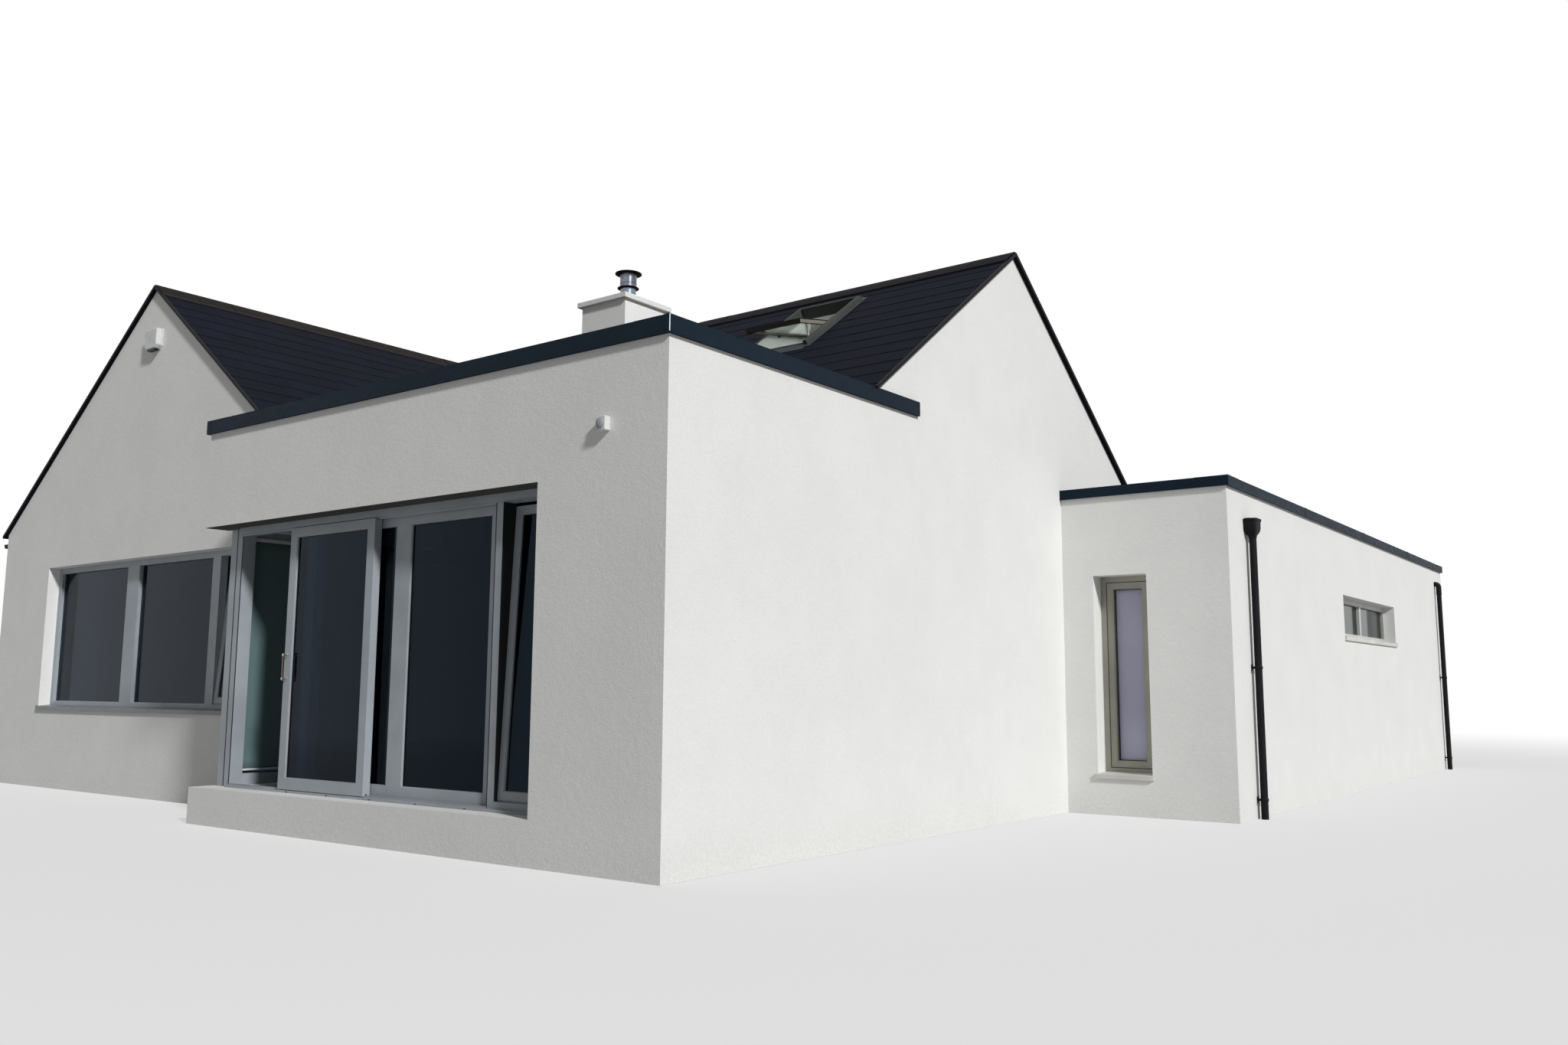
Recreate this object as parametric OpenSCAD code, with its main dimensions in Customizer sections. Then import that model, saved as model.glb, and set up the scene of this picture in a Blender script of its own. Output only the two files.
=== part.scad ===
// Detached house: a slated gabled wing, a flat-roofed front box with a sliding glazed
// screen, a slated main block with its gable to the right, and a flat-roofed rear
// extension. X runs to the right along the fronts, Y runs back, Z is up. Levels are
// counted from the finished floor, plan places from the front right corner of the box.

/* [Levels] */
// Finished floor above the lowest ground
floor_h = 315; // [200:5:600]
// Door and window heads above the floor
head_h = 2300; // [2100:10:2500]
// Top of the front box's metal capping above the floor
box_top = 3280; // [3200:10:3400]
// Top of the rear extension's metal capping above the floor
rear_top = 2890; // [2800:10:3000]
// Slate surface above the floor where it crosses the wall faces
eaves_h = 2810; // [2700:10:2900]

/* [Walls and floors] */
// Thickness of the outer walls
wall_t = 300; // [250:10:350]
// Thickness of the ground floor slab
slab_t = 200; // [150:10:300]
// Thickness of the flat roof decks
deck_t = 220; // [180:10:260]
// Flat roof surface below the top of its capping
upstand = 100; // [60:5:150]

/* [Metal cappings] */
// Height of a capping's face
cap_h = 120; // [90:5:160]
// Distance that a capping stands proud of the wall
cap_out = 30; // [15:1:45]
// Thickness of a capping's top over the parapet
cap_t = 15; // [8:1:30]
// Length of the box capping's face along its right side
box_cap_side = 3105; // [2600:5:3600]

/* [Front box] */
// Width of the box along its front
box_w = 5620; // [5200:10:6000]
// Width of the solid pier right of the screen
pier_w = 1210; // [1000:10:1400]

/* [Gabled wing] */
// Width of the wing across its gable
wing_w = 6940; // [6600:10:7400]
// Distance of the wing's front wall behind the box's front
wing_setback = 950; // [800:10:1200]
// Pitch of the wing's roof in degrees
wing_pitch = 37; // [35:0.5:39]

/* [Main block] */
// Distance of the main ridge behind the box's front
ridge_y = 4935; // [4800:5:5000]
// Half the depth of the main block
main_half = 3165; // [3100:5:3300]
// Pitch of the main block's roof in degrees
main_pitch = 36; // [34:0.5:36.5]

/* [Rear extension] */
// Distance that the extension stands out past the right gable
ext_out = 1665; // [1400:5:2000]
// Distance of its front wall behind the box's front
ext_front = 5930; // [5700:10:6200]
// Length of the extension behind the main block
ext_back = 8660; // [8000:10:9500]

/* [Slated roofs] */
// Thickness of the roof build-up, slates and battens
roof_t = 75; // [60:1:90]
// Distance that the slates pass the wall at the verges
verge_out = 40; // [20:1:60]
// Thickness of the slates' bare edge at a verge
verge_edge = 18; // [12:1:40]
// Width of the wall's lip that rises to that edge
verge_lip = 100; // [60:5:150]
// Distance that the slates pass the wall at the eaves
eaves_out = 55; // [40:1:80]
// Thickness of the dark verge trim
verge_trim_t = 8; // [4:1:14]
// Lap of the verge trim below the slates' edge
verge_lap = 4; // [2:1:15]
// Bedding gap between sloping pieces and what carries them
bed_gap = 0.3; // [0.1:0.1:0.6]
// Height that the verge trim stands above the slates
verge_up = 3; // [2:1:15]
// Length of one wing of a ridge tile
ridge_leg = 250; // [150:5:280]
// Thickness of a ridge tile
ridge_tile_t = 18; // [12:1:25]

/* [Chimney] */
// Distance of the stack's middle left of the right gable
stack_x = 5254; // [5000:2:5600]
// Width of the square stack
stack_w = 725; // [500:5:760]
// Top of the stack's cap above the floor
stack_top = 5562; // [5450:2:5800]
// Overhang of the cap
stack_cap_out = 45; // [30:5:90]
// Thickness of the cap
stack_cap_t = 65; // [50:5:100]
// Outside diameter of the metal flue
flue_d = 195; // [150:5:205]
// Diameter of the flange half-way up the flue
flange_d = 260; // [230:5:300]
// Height of that flange above the cap
flange_z = 205; // [120:5:260]
// Diameter of the sleeve above the flange
sleeve_d = 210; // [180:5:225]
// Height of the flue above the cap
flue_h = 430; // [350:5:480]
// Diameter of the rain hood on the flue
hood_d = 320; // [280:5:400]
// Height of that hood
hood_rise = 35; // [20:1:60]
// Distance of the flue's middle right of the stack's middle
flue_right = 30; // [-60:5:60]
// Distance of the flue's middle behind the stack's middle
flue_back = 25; // [-60:5:60]

/* [Window frames] */
// Set-back of the wing's windows from the wall face
reveal = 130; // [80:5:160]
// Set-back of the extension's tall window from the wall face
deep_reveal = 190; // [120:5:215]
// Depth of a window frame
frame_d = 80; // [60:5:80]
// Distance of a pane's face behind the face of its frame
pane_in = 45; // [15:1:50]
// Face width of an outer window frame
frame_w = 60; // [45:5:80]
// Face width of a sash
sash_w = 60; // [45:5:75]
// Thickness of a sealed glass unit
glass_t = 28; // [20:1:30]
// Thickness of a window sill
sill_t = 40; // [25:5:70]
// Distance that a sill stands out past the wall face
sill_out = 25; // [15:5:70]

/* [Wing windows] */
// Distance of the wing's front window from the box's left side
wide_win_gap = 395; // [300:5:600]
// Distance of the front window's left side from the wing's left corner
wide_win_x = 1245; // [1100:5:1500]
// Sill height of the wing's windows above the floor
wide_win_sill = 630; // [500:10:900]
// Width of the front window's left light
left_light_w = 1668; // [1500:2:1750]
// Width of its middle light
mid_light_w = 1584; // [1450:2:1650]
// Face width of its left mullion
left_mull_w = 263; // [90:1:280]
// Face width of its right mullion
right_mull_w = 155; // [90:5:200]
// Tilt of the sash in its right light in degrees
wide_tilt = 4; // [0:0.5:5]
// Face width of the rear windows' mullions
rear_mull_w = 130; // [90:5:160]
// Width of the wing's rear window
rear_win_w = 2400; // [1800:20:3000]

/* [Extension windows] */
// Width of the tall window beside the main gable
tall_win_w = 545; // [450:5:700]
// Distance of the tall window from the main gable
tall_win_x = 320; // [250:5:400]
// Sill height of the tall window
tall_win_sill = 70; // [50:5:300]
// Head height of the tall window
tall_win_head = 2005; // [1900:5:2200]
// Width of a slot window
slot_win_w = 2840; // [2200:10:3200]
// Height of a slot window
slot_win_h = 505; // [400:5:700]
// Head height of a slot window
slot_win_head = 2030; // [1900:10:2200]
// Distance of the slot window behind the box's front
slot_win_y = 10215; // [9500:5:11000]
// Sill height of the extension's rear window
back_win_sill = 900; // [600:10:1100]

/* [Sliding screen] */
// Set-back of the screen's corner post from the box's front
post_y = 220; // [180:5:260]
// Set-back of the corner post from the box's left end
post_inset = 70; // [40:5:100]
// Width of the corner post
post_w = 200; // [140:5:240]
// Depth of the corner post and the mullion
post_d = 120; // [100:5:125]
// Height of the head frame
head_frame_h = 60; // [45:5:80]
// Height of the threshold
threshold_h = 20; // [15:1:30]
// Distance of the outer track's front in front of the post
track_out = 40; // [30:5:60]
// Thickness of a sliding or fixed leaf
leaf_t = 66; // [58:1:66]
// Width of the sliding leaf
leaf_w = 1195; // [1100:5:1250]
// Width of a stile
stile_w = 95; // [80:5:110]
// Height of a leaf's top rail
top_rail_h = 75; // [60:5:100]
// Height of a leaf's bottom rail
bottom_rail_h = 92; // [80:2:120]
// Width of one fixed leaf
fixed_leaf_w = 1160; // [1100:5:1200]
// Gap between the outer and inner tracks
track_gap = 11; // [8:1:20]
// Opening of the sliding leaf at rest, from its closed place
leaf_open = 815; // [700:5:1000]
// Clearance round the sliding leaf
leaf_clear = 6; // [5:0.5:8]
// Width of the guide ribs that the sliding leaf runs on
guide_w = 8; // [6:1:12]
// Height of the guide ribs
guide_h = 14; // [10:1:18]
// Running clearance between the rollers and the bottom rib
roller_gap = 0.3; // [0.2:0.1:0.6]
// Diameter of a roller
roller_d = 36; // [30:1:44]
// Width of the mullion right of the fixed leaves
mullion_w = 75; // [60:5:100]
// Width of the light with the tilted sash, with its jamb
tilt_light_w = 610; // [500:5:700]
// Clearance round the tilted sash
tilt_clear = 5; // [4:1:8]
// Height of the hinge block below the tilted sash
tilt_hinge_h = 10; // [8:1:14]
// Tilt of the opened right-hand sash in degrees
tilt_angle = 2.5; // [0:0.5:7]
// Set-back of the tilted sash's foot from the mullion's face
tilt_in = 30; // [15:5:60]
// Height of the frame below the tilted sash
tilt_foot_h = 50; // [30:5:80]
// Length of a pull handle
handle_len = 240; // [180:10:320]
// Height of the handle's middle above the floor
handle_z = 1045; // [950:5:1150]

/* [Roof window] */
// Width of the roof window
rw_w = 780; // [660:10:940]
// Length of the roof window up the slope
rw_len = 1180; // [980:2:1240]
// Distance of its right side from the right gable
rw_x = 1500; // [1200:10:2000]
// Distance of its middle behind the box's front
rw_y = 4080; // [4000:10:4130]
// Height of its frame above the slates
rw_up = 80; // [30:5:100]
// Width of its frame members
rw_frame_w = 45; // [35:1:60]
// Opening angle of its sash in degrees
rw_angle = 25; // [15:1:30]
// Thickness of its sash
rw_sash_t = 45; // [30:1:60]
// Clearance between its sash and its frame
rw_clear = 12; // [8:1:20]

/* [Drainage] */
// Diameter of a downpipe
pipe_d = 68; // [60:2:90]
// Distance of a downpipe's middle from the wall
pipe_off = 62; // [52:1:80]
// Distance of the front downpipe behind the extension's front wall
pipe_y = 555; // [350:5:700]
// Distance of the rear downpipe from the extension's back wall
pipe_back = 590; // [300:5:800]
// Height of the rear downpipe's elbow above the floor
elbow_z = 2565; // [2400:5:2620]
// Height of a downpipe's upper bracket above the floor
bracket_high = 1086; // [900:2:1400]
// Height of its lower bracket above the floor
bracket_low = -150; // [-200:5:300]
// Height of the hopper's top above the floor
hopper_top = 2530; // [2400:5:2600]
// Height of the hopper
hopper_h = 165; // [140:5:200]
// Width of the hopper
hopper_w = 200; // [170:5:240]
// Depth of the hopper from the wall
hopper_d = 130; // [115:5:160]
// Width of an eaves gutter
gutter_w = 112; // [100:2:130]
// Wall thickness of an eaves gutter
gutter_t = 6; // [4:1:8]

/* [Wall fittings] */
// Width of the white box high on the wing's gable
bell_w = 280; // [240:5:400]
// Height of that box
bell_h = 250; // [200:5:420]
// Depth of that box
bell_d = 80; // [60:5:110]
// Height of the box's middle above the floor
bell_z = 4773; // [4500:1:4900]
// Distance of the box's middle right of the wing's ridge
bell_x = 58; // [-100:2:250]
// Distance of the movement sensor's middle from the box's right corner
sensor_x = 558; // [450:2:900]
// Height of the sensor's middle above the floor
sensor_z = 2624; // [2500:2:2800]
// Width of the sensor
sensor_w = 90; // [60:5:110]

/* [Hidden] */
$fn = 48;
eps = 1;

// Places in plan, with the box's front right corner at zero
box_x0 = -box_w;
beam_x1 = box_x0 + wall_t;
wing_x1 = beam_x1;
wing_x0 = wing_x1 - wing_w;
wing_ridge_x = wing_x1 - wing_w / 2;
main_y0 = ridge_y - main_half;
main_y1 = ridge_y + main_half;
wing_y0 = wing_setback;
wing_y1 = 2 * ridge_y - wing_setback;
ext_y1 = main_y1 + ext_back;
ext_x0 = wing_x1;
sensor_back = sensor_w * 0.6;
sensor_out = sensor_w * 0.8;
house_x0 = wing_x0 - max(eaves_out, gutter_w);
house_x1 = ext_out + max(cap_out, pipe_off + pipe_d / 2, hopper_d);
house_y0 = -max(cap_out, sensor_out);
house_y1 = ext_y1 + max(cap_out, sill_out);

// Slopes and levels
wing_s = tan(wing_pitch);
main_s = tan(main_pitch);
wing_ridge_z = eaves_h + wing_s * wing_w / 2;
main_ridge_z = eaves_h + main_s * main_half;
wing_v = roof_t / cos(wing_pitch);
main_v = roof_t / cos(main_pitch);
wing_bed = wing_v + bed_gap;
main_bed = main_v + bed_gap;
wing_lip_v = verge_edge / cos(wing_pitch);
main_lip_v = verge_edge / cos(main_pitch);
lip_end = verge_lip + bed_gap;
box_wall_top = box_top - cap_t;
rear_wall_top = rear_top - cap_t;
box_roof_z = box_top - upstand;
rear_roof_z = rear_top - upstand;
stack_y = ridge_y;
slab_front_y = main_y_at(box_roof_z);
parapet_y = main_y_at(box_wall_top);
valley_foot_y = main_y_at(wing_top(box_x0));

function main_top(y) = main_ridge_z - main_s * abs(y - ridge_y);
function wing_top(x) = wing_ridge_z - wing_s * abs(x - wing_ridge_x);
function main_y_at(z) = ridge_y - (main_ridge_z - z) / main_s;

// Moves a shape from plan places and floor levels to the house's own frame
module placed() {
    translate([-(house_x0 + house_x1) / 2, -(house_y0 + house_y1) / 2, floor_h]) children();
}

module block(x0, x1, y0, y1, z0, z1) {
    translate([x0, y0, z0]) cube([x1 - x0, y1 - y0, z1 - z0]);
}

// Extrudes a [y, z] outline along X
module along_x(x0, x1, points) {
    translate([x0, 0, 0]) rotate([90, 0, 90]) linear_extrude(x1 - x0) polygon(points);
}

// Extrudes an [x, z] outline along Y
module along_y(y0, y1, points) {
    translate([0, y1, 0]) rotate([90, 0, 0]) linear_extrude(y1 - y0) polygon(points);
}

// Colours of the finishes
module render_white() { color([0.90, 0.90, 0.88]) children(); }
module concrete() { color([0.62, 0.61, 0.59]) children(); }
module capping_metal() { color([0.16, 0.20, 0.22]) children(); }
module slate() { color([0.15, 0.16, 0.19]) children(); }
module ridge_clay() { color([0.20, 0.18, 0.17]) children(); }
module black_trim() { color([0.05, 0.05, 0.06]) children(); }
module frame_grey() { color([0.47, 0.49, 0.49]) children(); }
module glass_blue() { color([0.25, 0.32, 0.38]) children(); }
module steel() { color([0.72, 0.73, 0.74]) children(); }
module white_plastic() { color([0.92, 0.92, 0.90]) children(); }

// Floors

module floor_front() concrete() placed()
    block(beam_x1, -wall_t, wall_t, main_y1, -slab_t, 0);

module floor_wing() concrete() placed()
    block(wing_x0 + wall_t, wing_x1, wing_y0 + wall_t, wing_y1 - wall_t, -slab_t, 0);

module floor_rear() concrete() placed() union() {
    block(ext_x0 + wall_t, ext_out - wall_t, main_y1, ext_y1 - wall_t, -slab_t, 0);
    block(0, ext_out - wall_t, ext_front + wall_t, main_y1 + eps, -slab_t, 0);
}

// Walls

module screen_plinth() render_white() placed() union() {
    block(box_x0, -pier_w, 0, wall_t, -floor_h, 0);
    block(box_x0, beam_x1, wall_t - eps, wing_y0, -floor_h, 0);
}

module box_pier() render_white() placed()
    block(-pier_w, 0, 0, wall_t, -floor_h, head_h);

module box_header() render_white() placed()
    block(box_x0, 0, 0, wall_t, head_h, box_wall_top);

module box_left_beam() render_white() placed()
    block(box_x0, beam_x1, wall_t, parapet_y, head_h, box_wall_top);

// The main gable's outline, ending a bed below the slate surface
function gable_outline(bed) = [
    [wall_t, -floor_h],
    [main_y1, -floor_h],
    [main_y1, eaves_h - bed],
    [ridge_y, main_ridge_z - bed],
    [parapet_y, box_wall_top - bed],
    [parapet_y, box_wall_top],
    [wall_t, box_wall_top]
];

module main_gable_wall() render_white() placed() union() {
    along_x(-wall_t, 0, gable_outline(main_bed));
    along_x(-verge_lip, 0, gable_outline(main_lip_v + bed_gap));
}

module wing_gable_slab(y0, y1, front, bed) {
    along_y(y0, y1, [
        [wing_x0, -floor_h],
        [wing_x1, -floor_h],
        [wing_x1, front ? head_h : wing_top(wing_x1) - bed],
        [box_x0, front ? head_h : wing_top(box_x0) - bed],
        [box_x0, wing_top(box_x0) - bed],
        [wing_ridge_x, wing_ridge_z - bed],
        [wing_x0, eaves_h - bed]
    ]);
}

module wing_gable(y0, y1, front) {
    lip_y = front ? y0 : y1 - verge_lip;
    wing_gable_slab(y0, y1, front, wing_bed);
    wing_gable_slab(lip_y, lip_y + verge_lip, front, wing_lip_v + bed_gap);
}

wide_x0 = wing_x0 + wide_win_x;
wide_x1 = box_x0 - wide_win_gap;
wide_win_w = wide_x1 - wide_x0;
rear_win_x0 = wing_ridge_x - rear_win_w / 2;
rear_win_x1 = wing_ridge_x + rear_win_w / 2;
back_mid_x = (ext_x0 + ext_out) / 2;
back_x0 = back_mid_x - rear_win_w / 2;
back_x1 = back_mid_x + rear_win_w / 2;
slot_y1 = slot_win_y + slot_win_w;
slot_sill = slot_win_head - slot_win_h;

module wing_front_wall() render_white() placed() difference() {
    wing_gable(wing_y0, wing_y0 + wall_t, true);
    block(wide_x0, wide_x1, wing_y0 - eps, wing_y0 + wall_t + eps, wide_win_sill, head_h);
}

module wing_left_wall() render_white() placed()
    along_y(wing_y0 + wall_t, wing_y1 - wall_t, [
        [wing_x0, -floor_h],
        [wing_x0 + wall_t, -floor_h],
        [wing_x0 + wall_t, wing_top(wing_x0 + wall_t) - wing_bed],
        [wing_x0, eaves_h - wing_bed]
    ]);

module wing_rear_wall() render_white() placed() difference() {
    wing_gable(wing_y1 - wall_t, wing_y1, false);
    block(rear_win_x0, rear_win_x1, wing_y1 - wall_t - eps, wing_y1 + eps,
          wide_win_sill, head_h);
}

module ext_front_wall() render_white() placed() difference() {
    block(0, ext_out, ext_front, ext_front + wall_t, -floor_h, rear_wall_top);
    block(tall_win_x, tall_win_x + tall_win_w, ext_front - eps, ext_front + wall_t + eps,
          tall_win_sill, tall_win_head);
}

module ext_right_wall() render_white() placed() difference() {
    block(ext_out - wall_t, ext_out, ext_front + wall_t, ext_y1 - wall_t,
          -floor_h, rear_wall_top);
    block(ext_out - wall_t - eps, ext_out + eps, slot_win_y, slot_y1,
          slot_sill, slot_win_head);
}

module ext_back_wall() render_white() placed() difference() {
    block(ext_x0, ext_out, ext_y1 - wall_t, ext_y1, -floor_h, rear_wall_top);
    block(back_x0, back_x1, ext_y1 - wall_t - eps, ext_y1 + eps, back_win_sill, slot_win_head);
}

module ext_left_wall() render_white() placed() difference() {
    block(ext_x0, ext_x0 + wall_t, main_y1, ext_y1 - wall_t, -floor_h, rear_wall_top);
    block(ext_x0 - eps, ext_x0 + wall_t + eps, slot_win_y, slot_y1,
          slot_sill, slot_win_head);
}

// Flat roofs

module box_deck() concrete() placed()
    block(beam_x1, -wall_t, wall_t, slab_front_y, box_roof_z - deck_t, box_roof_z);

module ext_deck() concrete() placed() union() {
    block(ext_x0 + wall_t, ext_out - wall_t, main_y1 + eaves_out, ext_y1 - wall_t,
          rear_roof_z - deck_t, rear_roof_z);
    block(0, ext_out - wall_t, ext_front + wall_t, main_y1 + eaves_out + eps,
          rear_roof_z - deck_t, rear_roof_z);
}

module box_capping() capping_metal() placed() difference() {
    translate([0, 0, box_wall_top]) union() {
        block(box_x0 - cap_out, cap_out, -cap_out, wall_t, 0, cap_t);
        block(-wall_t, cap_out, wall_t - eps, main_y_at(box_top), 0, cap_t);
        block(box_x0 - cap_out, beam_x1, wall_t - eps, main_y_at(box_top), 0, cap_t);
        block(box_x0 - cap_out, cap_out, -cap_out, 0, cap_t - cap_h, eps);
        block(0, cap_out, -eps, box_cap_side, cap_t - cap_h, cap_t);
        block(box_x0 - cap_out, box_x0, -eps, main_y_at(box_top), cap_t - cap_h, cap_t);
    }
    // Both runs end on the main roof's slope
    translate([0, 0, bed_gap]) along_x(box_x0 - 2 * cap_out, 0, [
        [main_y_at(box_top - 2 * cap_h), box_top - 2 * cap_h],
        [main_y_at(box_top + cap_h), box_top - 2 * cap_h],
        [main_y_at(box_top + cap_h), box_top + cap_h]
    ]);
}

module ext_capping() capping_metal() placed() translate([0, 0, rear_wall_top]) union() {
    block(0, ext_out + cap_out, ext_front - cap_out, ext_front, cap_t - cap_h, cap_t);
    block(0, ext_out + cap_out, ext_front - eps, ext_front + wall_t, 0, cap_t);
    block(ext_out, ext_out + cap_out, ext_front - eps, ext_y1 + cap_out, cap_t - cap_h, cap_t);
    block(ext_out - wall_t, ext_out + eps, ext_front + wall_t - eps, ext_y1, 0, cap_t);
    block(ext_x0 - cap_out, ext_out + eps, ext_y1, ext_y1 + cap_out, cap_t - cap_h, cap_t);
    block(ext_x0, ext_out + eps, ext_y1 - wall_t, ext_y1 + eps, 0, cap_t);
    block(ext_x0 - cap_out, ext_x0 + eps, wing_y1 + verge_out + verge_trim_t, ext_y1 + eps,
          0, cap_t);
    block(ext_x0 - cap_out, ext_x0, wing_y1 + verge_out + verge_trim_t, ext_y1 + eps,
          cap_t - cap_h, cap_t);
    block(ext_x0, ext_x0 + wall_t, main_y1, ext_y1 - wall_t + eps, 0, cap_t);
}

// Slated roofs

far = 2 * wing_w;

// Everything more than a drop below the wing's slate surface
module under_wing_slates(drop = 0, y0 = wing_y0 - far, y1 = wing_y1 + far) {
    along_y(y0, y1, [
        [wing_ridge_x - far, wing_ridge_z - wing_s * far - drop],
        [wing_ridge_x, wing_ridge_z - drop],
        [wing_ridge_x + far, wing_ridge_z - wing_s * far - drop]
    ]);
}

// Everything more than a drop below the main block's slate surface
module under_main_slates(drop = 0, x0 = wing_x0 - far) {
    along_x(x0, far, [
        [ridge_y - far, main_ridge_z - main_s * far - drop],
        [ridge_y, main_ridge_z - drop],
        [ridge_y + far, main_ridge_z - main_s * far - drop]
    ]);
}

// A slab along one slope: run is the level distance from ridge to lower edge
module slope_outline(ridge, level, slope, thick, run, side) {
    polygon([
        [ridge, level], [ridge + side * run, level - slope * run],
        [ridge + side * run, level - slope * run - thick], [ridge, level - thick]
    ]);
}

module rw_place() {
    translate([-rw_x - rw_w / 2, rw_y, main_top(rw_y)]) rotate([main_pitch, 0, 0]) children();
}

module main_roof_front() slate() placed() difference() {
    translate([wing_ridge_x, 0, 0]) rotate([90, 0, 90])
        linear_extrude(verge_out - wing_ridge_x)
            slope_outline(ridge_y, main_ridge_z, main_s, main_v, ridge_y - valley_foot_y, -1);
    translate([0, 0, bed_gap]) under_wing_slates();
    rw_place() cube([rw_w + 2 * bed_gap, rw_len + 2 * bed_gap, 4 * roof_t], center = true);
    block(box_x0 - bed_gap, 2 * verge_out, 0, slab_front_y + bed_gap, 0, 2 * box_top);
    block(box_x0 - bed_gap, beam_x1 + bed_gap, 0, parapet_y + bed_gap, 0, 2 * box_top);
    block(-wall_t - bed_gap, 2 * verge_out, 0, parapet_y + bed_gap, 0, 2 * box_top);
    block(0, 2 * verge_out, 0, box_cap_side, 0, box_top);
    under_main_slates(main_lip_v, -lip_end);
}

module main_roof_rear() slate() placed() difference() {
    translate([wing_ridge_x, 0, 0]) rotate([90, 0, 90])
        linear_extrude(verge_out - wing_ridge_x)
            slope_outline(ridge_y, main_ridge_z, main_s, main_v, main_half + eaves_out, 1);
    translate([0, 0, bed_gap]) under_wing_slates();
    block(ext_x0 - wall_t, ext_x0 + wall_t, main_y1, ext_y1, 0, rear_top);
    block(0, 2 * verge_out, ridge_y, ext_y1, 0, rear_roof_z);
    under_main_slates(main_lip_v, -lip_end);
}

// Room below the thin edges of the wing's two verges
module wing_lip_room() {
    under_wing_slates(wing_lip_v, wing_y0 - far, wing_y0 + lip_end);
    under_wing_slates(wing_lip_v, wing_y1 - lip_end, wing_y1 + far);
}

module wing_roof_left() slate() placed() difference() {
    translate([0, wing_y1 + verge_out, 0]) rotate([90, 0, 0])
        linear_extrude(wing_y1 - wing_y0 + 2 * verge_out)
            slope_outline(wing_ridge_x, wing_ridge_z, wing_s, wing_v,
                          wing_w / 2 + eaves_out, -1);
    wing_lip_room();
}

module wing_roof_right() slate() placed() difference() {
    translate([0, wing_y1 + verge_out, 0]) rotate([90, 0, 0])
        linear_extrude(wing_y1 - wing_y0 + 2 * verge_out)
            slope_outline(wing_ridge_x, wing_ridge_z, wing_s, wing_v, wing_w / 2, 1);
    under_main_slates(main_bed);
    block(box_x0, 0, 0, parapet_y, 0, 2 * box_top);
    block(box_x0, 0, 0, ridge_y, 0, wing_top(box_x0));
    wing_lip_room();
}

// An angular ridge tile run: two legs over the apex
module ridge_outline(slope) {
    leg = ridge_leg * cos(atan(slope));
    polygon([
        [0, ridge_tile_t], [leg, ridge_tile_t - slope * leg], [leg, -slope * leg],
        [0, 0], [-leg, -slope * leg], [-leg, ridge_tile_t - slope * leg]
    ]);
}

module main_ridge() ridge_clay() placed() difference() {
    translate([wing_ridge_x, ridge_y, main_ridge_z + bed_gap]) rotate([90, 0, 90])
        linear_extrude(verge_out - wing_ridge_x) ridge_outline(main_s);
    translate([0, 0, bed_gap]) under_wing_slates();
    translate([-stack_x, stack_y, main_ridge_z])
        cube([stack_w + 2 * bed_gap, stack_w + 2 * bed_gap, 8 * ridge_leg], center = true);
}

module wing_ridge() ridge_clay() placed()
    translate([wing_ridge_x, wing_y1 + verge_out, wing_ridge_z + bed_gap]) rotate([90, 0, 0])
        linear_extrude(wing_y1 - wing_y0 + 2 * verge_out) ridge_outline(wing_s);

// One verge trim's face as a sloping strip; run is its level length
module trim_outline(run, slope, drop) {
    polygon([
        [0, verge_up], [run, verge_up - slope * run],
        [run, -drop - slope * run], [0, -drop],
        [-run, -drop - slope * run], [-run, verge_up - slope * run]
    ]);
}

module verge_trims() black_trim() placed() {
    difference() {
        translate([verge_out, ridge_y, main_ridge_z]) rotate([90, 0, 90])
            linear_extrude(verge_trim_t)
                trim_outline(main_half + eaves_out, main_s, main_lip_v + verge_lap);
        block(-eps, 4 * verge_out, 0, box_cap_side, -floor_h, box_top);
        block(-eps, ext_out, main_y1 - main_half, ext_y1, -floor_h, rear_roof_z);
    }
    difference() {
        translate([wing_ridge_x, wing_y0 - verge_out, wing_ridge_z]) rotate([90, 0, 0])
            linear_extrude(verge_trim_t)
                trim_outline(wing_w / 2 + eaves_out, wing_s, wing_lip_v + verge_lap);
        block(box_x0 - cap_out, 0, -eps, ridge_y, -floor_h, wing_ridge_z);
    }
    difference() {
        translate([wing_ridge_x, wing_y1 + verge_out + verge_trim_t, wing_ridge_z])
            rotate([90, 0, 0])
                linear_extrude(verge_trim_t)
                trim_outline(wing_w / 2 + eaves_out, wing_s, wing_lip_v + verge_lap);
        block(wing_x1, 0, ridge_y, ext_y1, -floor_h, wing_ridge_z);
    }
}

gutter_z = eaves_h - wing_s * eaves_out - wing_v;

// The lower half of a disc, its right side at zero
module half_disc() {
    difference() {
        translate([-gutter_w / 2, 0]) circle(d = gutter_w);
        translate([-2 * gutter_w, 0]) square(4 * gutter_w);
    }
}

module wing_gutter() black_trim() placed()
    translate([wing_x0, wing_y1, gutter_z]) rotate([90, 0, 0]) union() {
        linear_extrude(wing_y1 - wing_y0) {
            difference() {
                half_disc();
                translate([-gutter_w / 2, 0]) circle(d = gutter_w - 2 * gutter_t);
            }
            translate([-gutter_t, -gutter_w / 2]) square([gutter_t, gutter_w / 2]);
        }
        linear_extrude(gutter_t) half_disc();
        translate([0, 0, wing_y1 - wing_y0 - gutter_t]) linear_extrude(gutter_t) half_disc();
    }

// Chimney

module chimney_stack() render_white() placed() difference() {
    block(-stack_x - stack_w / 2, -stack_x + stack_w / 2,
          stack_y - stack_w / 2, stack_y + stack_w / 2,
          main_ridge_z - main_s * stack_w, stack_top - stack_cap_t - bed_gap);
    translate([0, 0, bed_gap]) under_main_slates();
}

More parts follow.
